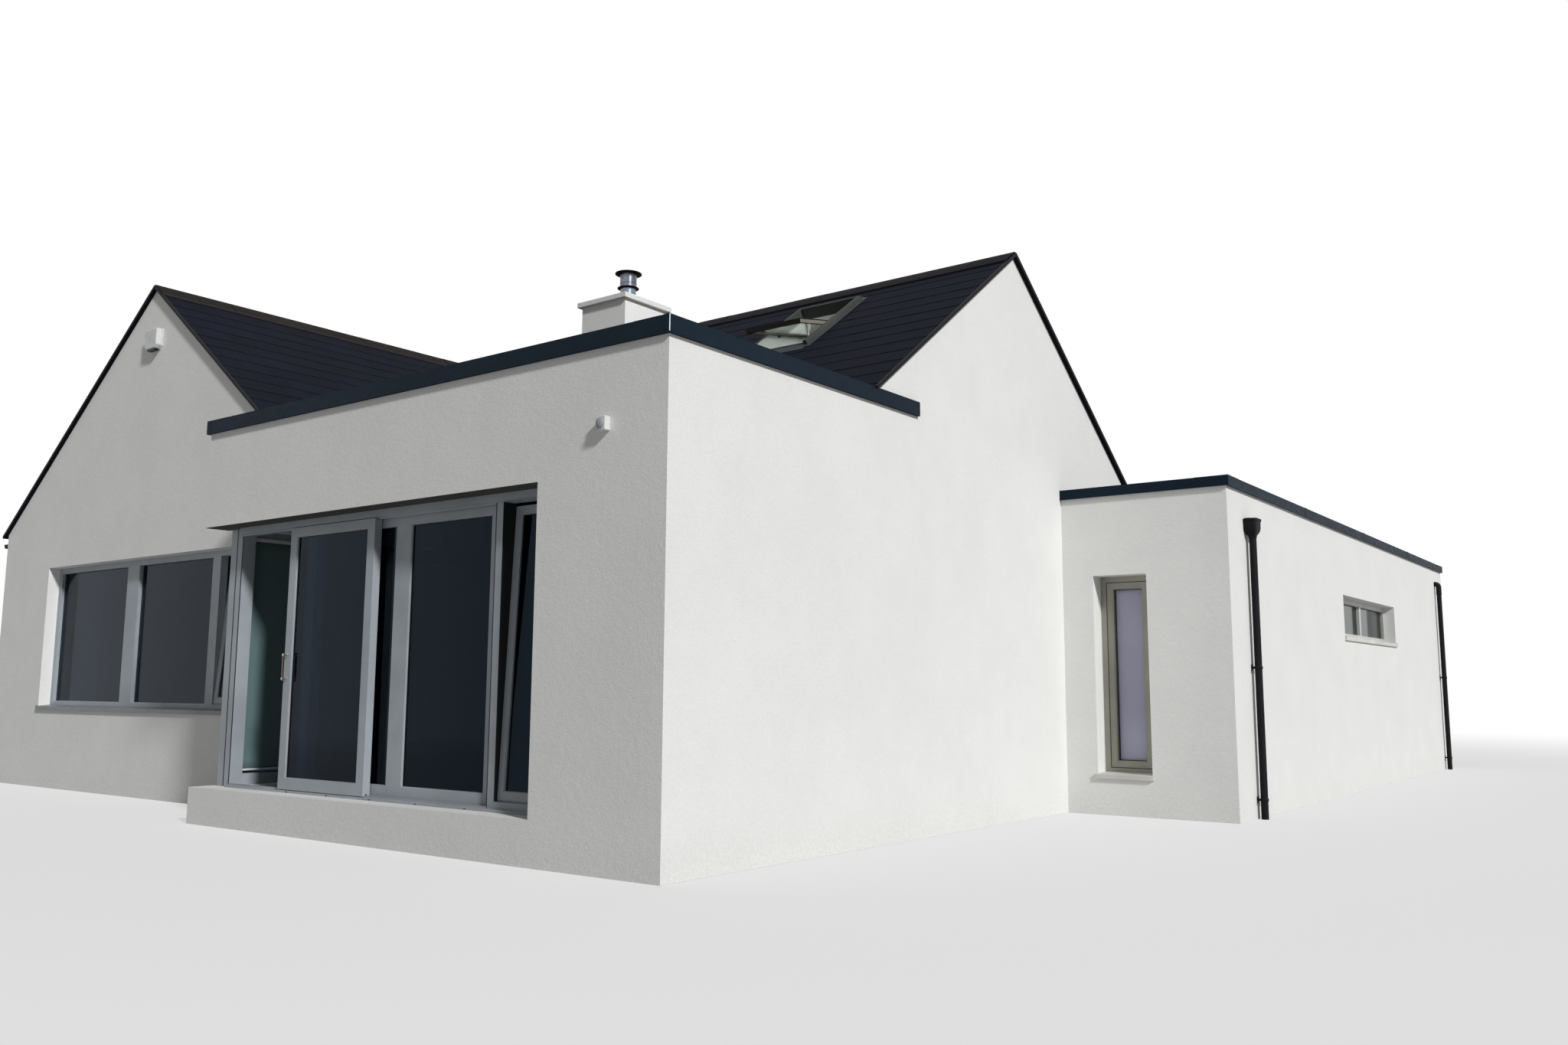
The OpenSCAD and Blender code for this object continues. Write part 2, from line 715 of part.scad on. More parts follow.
module chimney_cap() render_white() placed()
    translate([-stack_x, stack_y, stack_top - stack_cap_t / 2])
        cube([stack_w + 2 * stack_cap_out, stack_w + 2 * stack_cap_out, stack_cap_t],
             center = true);

flange_t = 17;
hood_rim = 6;

module chimney_flue() steel() placed()
    translate([-stack_x + flue_right, stack_y + flue_back, stack_top]) rotate_extrude() polygon([
        [0, 0], [flue_d / 2, 0], [flue_d / 2, flange_z], [flange_d / 2, flange_z],
        [flange_d / 2, flange_z + flange_t], [sleeve_d / 2, flange_z + flange_t],
        [sleeve_d / 2, flue_h - hood_rise], [hood_d / 2, flue_h - hood_rise],
        [hood_d / 2, flue_h - hood_rise + hood_rim], [0, flue_h]
    ]);

// Roof window

module roof_window_frame() capping_metal() placed() rw_place() difference() {
    translate([0, 0, (rw_up - roof_t) / 2]) cube([rw_w, rw_len, rw_up + roof_t], center = true);
    cube([rw_w - 2 * rw_frame_w, rw_len - 2 * rw_frame_w, 8 * roof_t], center = true);
}

rw_sash_x = rw_w - 2 * rw_frame_w - 2 * rw_clear;
rw_sash_y = rw_len - 2 * rw_frame_w - 2 * rw_clear;
rw_glass_x = rw_sash_x - 2 * rw_frame_w;
rw_glass_y = rw_sash_y - 2 * rw_frame_w;

module rw_sash_place() { rw_place() rotate([-rw_angle, 0, 0]) children(); }

module roof_window_sash() frame_grey() placed() union() {
    rw_sash_place() difference() {
        cube([rw_sash_x, rw_sash_y, rw_sash_t], center = true);
        cube([rw_glass_x, rw_glass_y, 2 * rw_sash_t], center = true);
    }
    // Pivot pins between sash and frame
    for (side = [-1, 1])
        rw_place() translate([side * (rw_sash_x / 2 + rw_clear / 2), 0, 0])
            rotate([0, 90, 0]) cylinder(h = rw_clear, d = rw_sash_t / 2, center = true);
}

module roof_window_glass() glass_blue() placed() rw_sash_place()
    cube([rw_glass_x, rw_glass_y, glass_t], center = true);

// Windows

// Places children on a wall: front walls keep +Y inward; the others turn about Z
module on_front(x, y, z) { translate([x, y, z]) children(); }
module on_back(x, y, z) { translate([x, y, z]) rotate(180) children(); }
module on_right(x, y, z) { translate([x, y, z]) rotate(90) children(); }
module on_left(x, y, z) { translate([x, y, z]) rotate(-90) children(); }

// A frame w by h with its face in the XZ plane at y = 0, depth inward, bars as [x, width]
module window_frame(w, h, bars, member) {
    difference() {
        cube([w, frame_d, h]);
        for (i = [0 : len(bars)]) {
            x0 = i == 0 ? member : bars[i - 1][0] + bars[i - 1][1];
            x1 = i == len(bars) ? w - member : bars[i][0];
            translate([x0, -eps, member])
                cube([x1 - x0, frame_d + 2 * eps, h - 2 * member]);
        }
    }
}

module window_panes(w, h, bars, member) {
    for (i = [0 : len(bars)]) {
        x0 = i == 0 ? member : bars[i - 1][0] + bars[i - 1][1];
        x1 = i == len(bars) ? w - member : bars[i][0];
        translate([x0, pane_in, member]) cube([x1 - x0, glass_t, h - 2 * member]);
    }
}

member = frame_w + sash_w;
wide_h = head_h - wide_win_sill;
wide_bars = [
    [frame_w + left_light_w, left_mull_w],
    [frame_w + left_light_w + left_mull_w + mid_light_w, right_mull_w]
];
wide_open_x = wide_bars[1][0] + wide_bars[1][1];
wide_open_w = wide_win_w - frame_w - wide_open_x;
mid_bar = [[rear_win_w / 2 - rear_mull_w / 2, rear_mull_w]];
slot_bar = [[slot_win_w / 2 - sash_w / 2, sash_w]];
back_h = slot_win_head - back_win_sill;
tall_h = tall_win_head - tall_win_sill;

// Stands a sash at the left foot of an opening whose base lies at zero, its top tilted back
module tilted(angle) {
    translate([tilt_clear, 0, tilt_hinge_h]) rotate([-angle, 0, 0]) children();
}

// A tilted sash in an opening w wide and h high, on a hinge block across the opening
module tilted_sash(w, h, angle) {
    sw = w - 2 * tilt_clear;
    sh = h - tilt_hinge_h - 4 * tilt_clear;
    tilted(angle) difference() {
        cube([sw, leaf_t, sh]);
        translate([sash_w, -eps, sash_w])
            cube([sw - 2 * sash_w, leaf_t + 2 * eps, sh - 2 * sash_w]);
    }
    // The block, sunk into the turned bottom edge
    translate([0, leaf_t * 0.1, 0]) cube([w, leaf_t * 0.5, tilt_hinge_h]);
}

module tilted_pane(w, h, angle) {
    tilted(angle) translate([sash_w, (leaf_t - glass_t) / 2, sash_w])
        cube([w - 2 * tilt_clear - 2 * sash_w, glass_t,
              h - tilt_hinge_h - 4 * tilt_clear - 2 * sash_w]);
}

module at_wide_window() {
    on_front(wide_x0, wing_y0 + reveal, wide_win_sill) children();
}
module at_wide_light() {
    at_wide_window() translate([wide_open_x, wide_tilt_in, frame_w]) children();
}
wide_tilt_in = 7;

module wide_window_frame() frame_grey() placed() union() {
    at_wide_window() window_frame(wide_win_w, wide_h, wide_bars, frame_w);
    at_wide_light() tilted_sash(wide_open_w, wide_h - 2 * frame_w, wide_tilt);
}

module at_rear_window() {
    on_back(rear_win_x1, wing_y1 - reveal, wide_win_sill) children();
}
module at_back_window() {
    on_back(back_x1, ext_y1 - reveal, back_win_sill) children();
}
module at_tall_window() {
    on_front(tall_win_x, ext_front + deep_reveal, tall_win_sill) children();
}
module at_right_slot() {
    on_right(ext_out - reveal, slot_win_y, slot_sill) children();
}
module at_left_slot() {
    on_left(ext_x0 + reveal, slot_y1, slot_sill) children();
}

module window_frames() frame_grey() placed() {
    at_rear_window() window_frame(rear_win_w, wide_h, mid_bar, member);
    at_back_window() window_frame(rear_win_w, back_h, mid_bar, member);
    at_tall_window() window_frame(tall_win_w, tall_h, [], member);
    at_right_slot() window_frame(slot_win_w, slot_win_h, slot_bar, frame_w);
    at_left_slot() window_frame(slot_win_w, slot_win_h, slot_bar, frame_w);
}

module window_glass() glass_blue() placed() {
    for (light = [[frame_w, left_light_w], [wide_bars[0][0] + left_mull_w, mid_light_w]])
        at_wide_window() translate([light[0], pane_in, frame_w])
            cube([light[1], glass_t, wide_h - 2 * frame_w]);
    at_wide_light() tilted_pane(wide_open_w, wide_h - 2 * frame_w, wide_tilt);
    at_rear_window() window_panes(rear_win_w, wide_h, mid_bar, member);
    at_back_window() window_panes(rear_win_w, back_h, mid_bar, member);
    at_tall_window() window_panes(tall_win_w, tall_h, [], member);
    at_right_slot() window_panes(slot_win_w, slot_win_h, slot_bar, frame_w);
    at_left_slot() window_panes(slot_win_w, slot_win_h, slot_bar, frame_w);
}

// A sill below a window w wide: its nose stands out and past the reveals, under the frame
module window_sill(w, depth) {
    nose = 2 * sill_out / 3;
    translate([-nose, -depth - sill_out, -sill_t]) cube([w + 2 * nose, sill_out, sill_t]);
}

module window_sills() concrete() placed() {
    at_wide_window() window_sill(wide_win_w, reveal);
    at_rear_window() window_sill(rear_win_w, reveal);
    at_back_window() window_sill(rear_win_w, reveal);
    at_tall_window() window_sill(tall_win_w, deep_reveal);
    at_right_slot() window_sill(slot_win_w, reveal);
    at_left_slot() window_sill(slot_win_w, reveal);
}

// Sliding screen

track_y = post_y - track_out;
leaf_y = track_y + leaf_clear;
inner_y = leaf_y + leaf_t + track_gap;
screen_y1 = inner_y + leaf_t + leaf_clear;
post_x0 = box_x0 + post_inset;
post_x1 = post_x0 + post_w;
screen_top = head_h - head_frame_h;
leaf_h = screen_top - threshold_h - 2 * leaf_clear;
leaf_z = threshold_h + leaf_clear;
leaf_x0 = post_x1 + leaf_clear + leaf_open;
fixed_x1 = -pier_w - tilt_light_w - mullion_w;
fixed_x0 = fixed_x1 - 2 * fixed_leaf_w;
tilt_x0 = fixed_x1 + mullion_w;
tilt_x1 = -pier_w - frame_w;
return_d = 70;

module screen_frame() frame_grey() placed() union() {
    // Corner post, mullion and right jamb
    block(post_x0, post_x1, post_y, post_y + post_d, 0, head_h);
    block(fixed_x1, tilt_x0, post_y, screen_y1, threshold_h - eps, screen_top + eps);
    block(tilt_x1, -pier_w, post_y, screen_y1, threshold_h - eps, screen_top + eps);
    // Frame below the tilted sash
    block(tilt_x0 - eps, tilt_x1 + eps, post_y, screen_y1, threshold_h - eps, tilt_z);
    // Head and threshold
    block(post_x1 - eps, -pier_w, track_y, screen_y1, screen_top, head_h);
    block(post_x1 - eps, -pier_w, track_y, screen_y1, 0, threshold_h);
    // Guide ribs of the outer track
    block(post_x1, fixed_x1, leaf_y + leaf_t / 2 - guide_w / 2, leaf_y + leaf_t / 2 + guide_w / 2,
          threshold_h - eps, threshold_h + guide_h);
    block(post_x1, fixed_x1, leaf_y + leaf_t / 2 - guide_w / 2, leaf_y + leaf_t / 2 + guide_w / 2,
          screen_top - guide_h, screen_top + eps);
    // Glazed return beside the wing
    difference() {
        block(post_x0, post_x0 + return_d, post_y + post_d - eps, wing_y0, 0, head_h);
        block(post_x0 - eps, post_x0 + return_d + eps, post_y + post_d + frame_w,
              wing_y0 - frame_w, stile_w, head_h - stile_w);
    }
}

// A leaf w wide and h high with its face in the XZ plane at y = 0
module leaf(w, h) {
    difference() {
        cube([w, leaf_t, h]);
        translate([stile_w, -eps, bottom_rail_h])
            cube([w - 2 * stile_w, leaf_t + 2 * eps, h - bottom_rail_h - top_rail_h]);
    }
}

module leaf_pane(w, h) {
    translate([stile_w, (leaf_t - glass_t) / 2, bottom_rail_h])
        cube([w - 2 * stile_w, glass_t, h - bottom_rail_h - top_rail_h]);
}

module screen_fixed_leaves() frame_grey() placed()
    for (i = [0, 1])
        translate([fixed_x0 + i * fixed_leaf_w, inner_y, threshold_h])
            leaf(fixed_leaf_w, screen_top - threshold_h);

tilt_z = threshold_h + tilt_foot_h;

module at_tilt_light() {
    translate([tilt_x0, post_y + tilt_in, tilt_z]) children();
}

module screen_tilt_sash() frame_grey() placed() union()
    at_tilt_light() tilted_sash(tilt_x1 - tilt_x0, screen_top - tilt_z, tilt_angle);

module screen_glass() glass_blue() placed() {
    for (i = [0, 1])
        translate([fixed_x0 + i * fixed_leaf_w, inner_y, threshold_h])
            leaf_pane(fixed_leaf_w, screen_top - threshold_h);
    at_tilt_light() tilted_pane(tilt_x1 - tilt_x0, screen_top - tilt_z, tilt_angle);
    block(post_x0 + (return_d - glass_t) / 2, post_x0 + (return_d + glass_t) / 2,
          post_y + post_d + frame_w, wing_y0 - frame_w, stile_w, head_h - stile_w);
}

groove_w = guide_w + 2 * leaf_clear;
groove_h = guide_h + 2;

module sliding_leaf() frame_grey() placed() union() {
    translate([leaf_x0, leaf_y, leaf_z]) difference() {
        leaf(leaf_w, leaf_h);
        translate([-eps, (leaf_t - groove_w) / 2, -eps])
            cube([leaf_w + 2 * eps, groove_w, groove_h + eps]);
        translate([-eps, (leaf_t - groove_w) / 2, leaf_h - groove_h])
            cube([leaf_w + 2 * eps, groove_w, groove_h + eps]);
        for (x = [stile_w, leaf_w - stile_w])
            translate([x, leaf_t / 2, roller_z]) rotate([90, 0, 0])
                cylinder(h = groove_w, d = roller_d + 2, center = true);
    }
    // Rollers on the bottom rib, with their axles in the rail
    for (x = [stile_w, leaf_w - stile_w])
        translate([leaf_x0 + x, leaf_y + leaf_t / 2, leaf_z + roller_z]) rotate([90, 0, 0]) {
            cylinder(h = guide_w, d = roller_d, center = true);
            cylinder(h = groove_w + 2 * eps, d = roller_d / 3, center = true);
        }
}
roller_z = threshold_h + guide_h + roller_gap + roller_d / 2 - leaf_z;

module sliding_leaf_glass() glass_blue() placed()
    translate([leaf_x0, leaf_y, leaf_z]) leaf_pane(leaf_w, leaf_h);

handle_d = 20;
handle_off = 42;

module pull_handle(side) {
    for (z = [-1, 1])
        translate([0, 0, z * (handle_len / 2 - handle_d)]) rotate([side * 90, 0, 0])
            cylinder(h = handle_off, d = handle_d * 0.8);
    translate([0, -side * handle_off, 0]) cylinder(h = handle_len, d = handle_d, center = true);
}

module leaf_handles() steel() placed()
    translate([leaf_x0 + stile_w / 2, 0, handle_z]) {
        translate([0, leaf_y, 0]) pull_handle(1);
        translate([0, leaf_y + leaf_t, 0]) pull_handle(-1);
    }

// Drainage

module downpipe(y, top) {
    translate([ext_out + pipe_off, y, -floor_h]) cylinder(h = top + floor_h, d = pipe_d);
    for (z = [bracket_low, bracket_high])
        block(ext_out, ext_out + pipe_off, y - pipe_d / 4, y + pipe_d / 4, z, z + pipe_d / 3);
}

module front_downpipe() black_trim() placed() union() {
    y = ext_front + pipe_y;
    downpipe(y, hopper_top - hopper_h + eps);
    along_y(y - hopper_w / 2, y + hopper_w / 2, [
        [ext_out, hopper_top - hopper_h], [ext_out + hopper_d * 0.75, hopper_top - hopper_h],
        [ext_out + hopper_d, hopper_top - hopper_h * 0.3], [ext_out + hopper_d, hopper_top],
        [ext_out, hopper_top]
    ]);
}

elbow_d = pipe_d + 10;

module rear_downpipe() black_trim() placed() union() {
    y = ext_y1 - pipe_back;
    downpipe(y, elbow_z);
    translate([ext_out, y, elbow_z]) rotate([0, 90, 0])
        cylinder(h = pipe_off + elbow_d / 2, d = elbow_d);
}

// Wall fittings

module bell_box() white_plastic() placed()
    translate([wing_ridge_x + bell_x, wing_y0, bell_z]) rotate([90, 0, 0])
        linear_extrude(bell_d) polygon([
            [-bell_w / 2, bell_h / 2], [bell_w / 2, bell_h / 2], [bell_w / 2, -bell_h * 0.3],
            [bell_w * 0.36, -bell_h / 2], [-bell_w * 0.36, -bell_h / 2],
            [-bell_w / 2, -bell_h * 0.3]
        ]);

module movement_sensor() white_plastic() placed()
    translate([-sensor_x, 0, sensor_z]) union() {
        translate([-sensor_w / 2, -sensor_back, -sensor_w / 2])
            cube([sensor_w, sensor_back, sensor_w * 1.08]);
        // The domed lens in its front
        translate([0, sensor_lens_r - sensor_out, 0]) sphere(sensor_lens_r);
    }
sensor_lens_r = sensor_w * 0.38;

floor_front();
floor_wing();
floor_rear();
screen_plinth();
box_pier();
box_header();
box_left_beam();
main_gable_wall();
wing_front_wall();
wing_left_wall();
wing_rear_wall();
ext_front_wall();
ext_right_wall();
ext_back_wall();
ext_left_wall();
box_deck();
ext_deck();
box_capping();
ext_capping();
main_roof_front();
main_roof_rear();
wing_roof_left();
wing_roof_right();
main_ridge();
wing_ridge();
verge_trims();
wing_gutter();
chimney_stack();
chimney_cap();
chimney_flue();
roof_window_frame();
roof_window_sash();
roof_window_glass();
wide_window_frame();
window_frames();
window_glass();
window_sills();
screen_frame();
screen_fixed_leaves();
screen_tilt_sash();
screen_glass();
sliding_leaf();
sliding_leaf_glass();
leaf_handles();
front_downpipe();
rear_downpipe();
bell_box();
movement_sensor();
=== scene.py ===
"""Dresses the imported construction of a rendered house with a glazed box, slate roofs and cappings.

Lengths are metres from the front right corner of the glazed box at floor level: x runs to the
right along the fronts, y from front to back and z up. SHIFT carries them into the model's frame.
"""

import logging
import math
from collections.abc import Callable, Sequence
from dataclasses import dataclass, field
from enum import Enum

import bmesh
import bpy
import numpy as np
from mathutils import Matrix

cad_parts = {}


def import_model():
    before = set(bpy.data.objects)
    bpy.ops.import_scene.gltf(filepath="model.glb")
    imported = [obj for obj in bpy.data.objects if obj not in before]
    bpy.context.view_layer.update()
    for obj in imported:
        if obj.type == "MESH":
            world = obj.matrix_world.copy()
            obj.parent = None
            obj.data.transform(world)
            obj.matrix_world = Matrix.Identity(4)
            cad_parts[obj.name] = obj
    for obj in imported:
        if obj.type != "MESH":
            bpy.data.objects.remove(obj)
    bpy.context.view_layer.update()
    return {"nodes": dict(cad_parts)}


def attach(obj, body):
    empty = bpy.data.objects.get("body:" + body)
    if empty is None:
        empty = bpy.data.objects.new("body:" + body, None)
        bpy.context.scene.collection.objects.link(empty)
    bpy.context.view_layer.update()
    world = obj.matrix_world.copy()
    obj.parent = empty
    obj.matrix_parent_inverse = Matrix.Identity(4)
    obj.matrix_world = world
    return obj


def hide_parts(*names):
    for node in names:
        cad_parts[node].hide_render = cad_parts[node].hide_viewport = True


log = logging.getLogger("house")

Array = np.ndarray
Socket = bpy.types.NodeSocket
Pair = tuple[float, float]
Point = tuple[float, float, float]
Colour = tuple[float, float, float, float]
Sides = tuple[float, float, float, float]
Inputs = dict[str | int, object]
Edge = Callable[[Array], Array]

SHIFT = np.array((5.2885, -8.359, 0.315))
RNG_SEED = 20

# Driving places and pitches of the construction
BOX_X0 = -5.620
BOX_TOP = 3.280
WING_X0 = -12.260
WING_Y0, WING_Y1 = 0.950, 8.920
WING_RIDGE_X, WING_RIDGE_Z = -8.790, 5.42483
MAIN_RIDGE_Y, MAIN_RIDGE_Z = 4.935, 5.10951
EXT_X1 = 1.665
EXT_TOP = 2.890
WING_PITCH, MAIN_PITCH = math.radians(37), math.radians(36)
VERGE_OUT = 0.040
STACK = (-5.254, 4.935)
STACK_HALF = 0.3625

# Unit directions, and a block's corners, lowest (0) or highest (1) in each measure, and faces
RIGHT, BACK, UP = np.eye(3)
CUBE = np.array([(x, y, z) for z in (0, 1) for x, y in ((0, 0), (1, 0), (1, 1), (0, 1))])
CUBE_FACES = np.array(
    [(0, 3, 2, 1), (4, 5, 6, 7), (0, 1, 5, 4), (1, 2, 6, 5), (2, 3, 7, 6), (3, 0, 4, 7)]
)


# Surfaces


@dataclass
class Shell:
    """Gathers the closed surfaces of one piece and turns them into an object."""

    name: str
    points: list[Array] = field(default_factory=list)
    tones: list[Array] = field(default_factory=list)
    loops: list[Array] = field(default_factory=list)
    sizes: list[Array] = field(default_factory=list)
    count: int = 0

    def add(self, points: Array, *faces: Array, tone: Array | float = 0.5) -> None:
        """Adds points with their faces.

        Args:
            points: places, any shape that ends in 3.
            faces: index arrays (faces, corners), counted from these points.
            tone: a shade from 0 to 1 for each point, or one for all.
        """
        points = np.asarray(points, float).reshape(-1, 3)
        self.points.append(points)
        self.tones.append(np.broadcast_to(tone, len(points)).astype(float))
        for part in faces:
            self.loops.append((np.asarray(part) + self.count).ravel())
            self.sizes.append(np.full(len(part), np.shape(part)[1]))
        self.count += len(points)

    def blocks(self, corners: Array, tone: Array | float = 0.5) -> None:
        """Adds six-sided blocks.

        Args:
            corners: (blocks, 8, 3), the lower four in turn, then the four above them.
            tone: a shade for each block, or one for all.
        """
        number = len(corners)
        faces = (np.arange(number)[:, None, None] * 8 + CUBE_FACES).reshape(-1, 4)
        self.add(corners, faces, tone=np.repeat(np.broadcast_to(tone, number), 8))

    def box(self, low: Point, high: Point) -> None:
        """Adds an upright box between its lowest and highest corners."""
        self.blocks((low + np.subtract(high, low) * CUBE)[None])

    def carry(self, rings: Array, closed: bool = False, tone: float = 0.5) -> None:
        """Joins each ring of points to the next one; an open run gets a face at each end.

        Args:
            rings: (rings, points, 3).
            closed: joins the last ring to the first.
            tone: one shade for all.
        """
        number, size = rings.shape[:2]
        here = np.arange(size)
        after = (here + 1) % size
        step = np.arange(number if closed else number - 1)
        a, b = step[:, None] * size, ((step + 1) % number)[:, None] * size
        faces = [np.stack([a + here, a + after, b + after, b + here], -1).reshape(-1, 4)]
        if not closed:
            faces += [here[None, ::-1], ((number - 1) * size + here)[None]]
        self.add(rings, *faces, tone=tone)

    def prism(self, outline: Array, start: Array, end: Array, axes: Array,
              tone: float = 0.5) -> None:
        """Carries a flat outline straight from start to end.

        Args:
            outline: (points, 2), measured along the two axes.
            start: where the outline's origin begins.
            end: where it stops.
            axes: (2, 3), the directions of the outline's two measures.
            tone: one shade for the whole prism.
        """
        flat = np.asarray(outline, float) @ np.asarray(axes, float)
        self.carry(np.stack([flat + np.asarray(start), flat + np.asarray(end)]), tone=tone)

    def mesh(self) -> bpy.types.Mesh:
        """Turns what was gathered into a mesh with outward faces and a tone attribute.

        Returns:
            The mesh, in the model's frame.
        """
        points = np.concatenate(self.points) + SHIFT
        loops, sizes = np.concatenate(self.loops), np.concatenate(self.sizes)
        mesh = bpy.data.meshes.new(self.name)
        mesh.vertices.add(len(points))
        mesh.vertices.foreach_set("co", points.ravel())
        mesh.loops.add(len(loops))
        mesh.loops.foreach_set("vertex_index", loops.astype(np.int32))
        mesh.polygons.add(len(sizes))
        starts = np.concatenate([[0], np.cumsum(sizes)[:-1]])
        mesh.polygons.foreach_set("loop_start", starts.astype(np.int32))
        mesh.update(calc_edges=True)
        mesh.validate()
        shade = mesh.attributes.new("tone", "FLOAT", "POINT")
        shade.data.foreach_set("value", np.concatenate(self.tones).astype(np.float32))
        work = bmesh.new()
        work.from_mesh(mesh)
        bmesh.ops.recalc_face_normals(work, faces=work.faces)
        work.to_mesh(mesh)
        work.free()
        return mesh

    def build(self, finish: "Finish", slot: str, body: str = "house",
              replaces: Sequence[str] = (), smooth: float = 0.0, bevel: float = 0.0) -> None:
        """Makes the object, dresses it and lets it ride.

        Args:
            finish: what it is covered with.
            slot: the record's material slot; not used.
            body: the body that it moves with.
            replaces: construction nodes that it stands for.
            smooth: edges flatter than this many degrees are shaded round.
            bevel: width of the rounding of its edges, in metres.
        """
        mesh = self.mesh()
        round_edges = bool(smooth or bevel)
        mesh.polygons.foreach_set("use_smooth", np.full(len(mesh.polygons), round_edges))
        if round_edges:
            mesh.set_sharp_from_angle(angle=math.radians(smooth or 30))
        thing = linked(self.name, mesh)
        if bevel:
            edge = thing.modifiers.new("edge", "BEVEL")
            edge.width, edge.segments, edge.harden_normals = bevel, 2, True
            edge.limit_method, edge.angle_limit = "ANGLE", math.radians(35)
        mesh.materials.append(finish.material())
        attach(thing, body)
        if replaces:
            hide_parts(*replaces)
        log.info("%s: %d points, %d faces", self.name, len(mesh.vertices), len(mesh.polygons))


def linked(name: str, data: bpy.types.ID) -> bpy.types.Object:
    """Puts a new object in the scene.

    Args:
        name: what it is called.
        data: its mesh, lamp or camera.

    Returns:
        The object, unmoved and unturned.
    """
    thing = bpy.data.objects.new(name, data)
    bpy.context.scene.collection.objects.link(thing)
    return thing


def circle(sides: int) -> Array:
    """Points round a unit circle, (sides, 2): cosine and sine of evenly spread angles."""
    angle = np.linspace(0, 2 * np.pi, sides, endpoint=False)
    return np.stack([np.cos(angle), np.sin(angle)], -1)


def lathe(profile: Array, centre: Array, axis: int = 2, sides: int = 48) -> Array:
    """Rings for Shell.carry: each profile point's radius turned round an axis at its height.

    Args:
        profile: (points, 2), radius and height from the centre.
        centre: the point that heights start from.
        axis: which of x, y, z is turned about.
        sides: points round each ring.

    Returns:
        (profile points, sides, 3).
    """
    profile = np.asarray(profile, float)
    around = profile[:, :1, None] * circle(sides)
    along = np.broadcast_to(profile[:, 1:, None], around.shape[:2] + (1,))
    return centre + np.roll(np.concatenate([along, around], -1), axis, axis=-1)


def tube(path: Array, radius: Array | float, across: Point, sides: int) -> Array:
    """Rings round a flat path: centre plus radius times (cos of across, sin of the third way).

    Args:
        path: (points, 3), lying in a plane square to across.
        radius: one radius, or one for each path point.
        across: unit direction square to the path's plane.
        sides: points round each ring.

    Returns:
        (path points, sides, 3).
    """
    path = np.asarray(path, float)
    way = np.gradient(path, axis=0)
    way /= np.linalg.norm(way, axis=1, keepdims=True)
    other = np.cross(way, across)
    size, spread = np.broadcast_to(radius, len(path))[:, None, None], circle(sides)
    return path[:, None] + size * (spread[:, :1] * across + spread[:, 1:] * other[:, None])


def rounded_path(corners: Sequence[Point], radius: float, steps: int) -> Array:
    """A path whose inner corners are eased: a quadratic curve from radius before to radius after.

    Args:
        corners: the points of the sharp path.
        radius: how far from each corner the curve starts.
        steps: points on each curve.

    Returns:
        (points, 3).
    """
    sharp, t = np.asarray(corners, float), np.linspace(0, 1, steps)[:, None]
    parts = [sharp[:1]]
    for before, here, after in zip(sharp[:-2], sharp[1:-1], sharp[2:]):
        a, b = (here + radius * (end - here) / np.linalg.norm(end - here)
                for end in (before, after))
        parts.append((1 - t) ** 2 * a + 2 * t * (1 - t) * here + t**2 * b)
    return np.concatenate(parts + [sharp[-1:]])


@dataclass(frozen=True)
class Plane:
    """A flat opening seen from outside: its lower left corner and three unit directions."""

    corner: Point
    along: Point = (1, 0, 0)
    up: Point = (0, 0, 1)
    inward: Point = (0, 1, 0)

    def at(self, u: Array | float, v: Array | float, d: Array | float) -> Array:
        """Points u along, v up and d inward from the corner."""
        ways = np.array((self.along, self.up, self.inward), float)
        return self.corner + np.stack(np.broadcast_arrays(u, v, d), -1) @ ways

    def moved(self, u: float, v: float, d: float = 0.0) -> "Plane":
        """The same plane from another corner, u along, v up and d inward."""
        return Plane(tuple(self.at(u, v, d)), self.along, self.up, self.inward)

    def leaning(self, degrees: float) -> "Plane":
        """The plane turned about its bottom edge, so that its top leans inward.

        Args:
            degrees: how far it leans.

        Returns:
            The turned plane, from the same corner.
        """
        c, s = math.cos(math.radians(degrees)), math.sin(math.radians(degrees))
        up, into = np.array(self.up), np.array(self.inward)
        return Plane(self.corner, self.along, tuple(c * up + s * into), tuple(c * into - s * up))

    def slab(self, shell: Shell, u: Pair, v: Pair, d: Pair) -> None:
        """Adds a block between two values of each of u, v and d to shell."""
        spans = [np.array(span)[CUBE[:, i]] for i, span in enumerate((u, v, d))]
        shell.blocks(self.at(*spans)[None])


@dataclass(frozen=True)
class Opening:
    """A rectangle with members along its sides: its plane, outer width and outer height."""

    plane: Plane
    width: float
    height: float

    def border(self, member: Sides, profile: Sequence[Point]) -> Array:
        """Four mitred rings for Shell.carry: each corner plus the member's share of each side.

        Args:
            member: widths of the left, right, bottom and top members.
            profile: (share of the member, extra length, depth) for each point of the section.

        Returns:
            (4, profile points, 3).
        """
        share, extra, depth = np.asarray(profile, float).T
        left, right, bottom, top = (share * m + extra for m in member)
        u = np.stack([left, self.width - right, self.width - right, left])
        v = np.stack([bottom, bottom, self.height - top, self.height - top])
        return self.plane.at(u, v, np.broadcast_to(depth, u.shape))

    def surround(self, shell: Shell, member: Sides, profile: Sequence[Point]) -> None:
        """Carries a section round the four members and adds it to shell."""
        shell.carry(self.border(member, profile), True)

    def sheet(self, shell: Shell, edge: float, depth: Pair) -> None:
        """Adds a flat block to shell that stops short of each side by edge."""
        self.plane.slab(shell, (edge, self.width - edge), (edge, self.height - edge), depth)


# Finishes


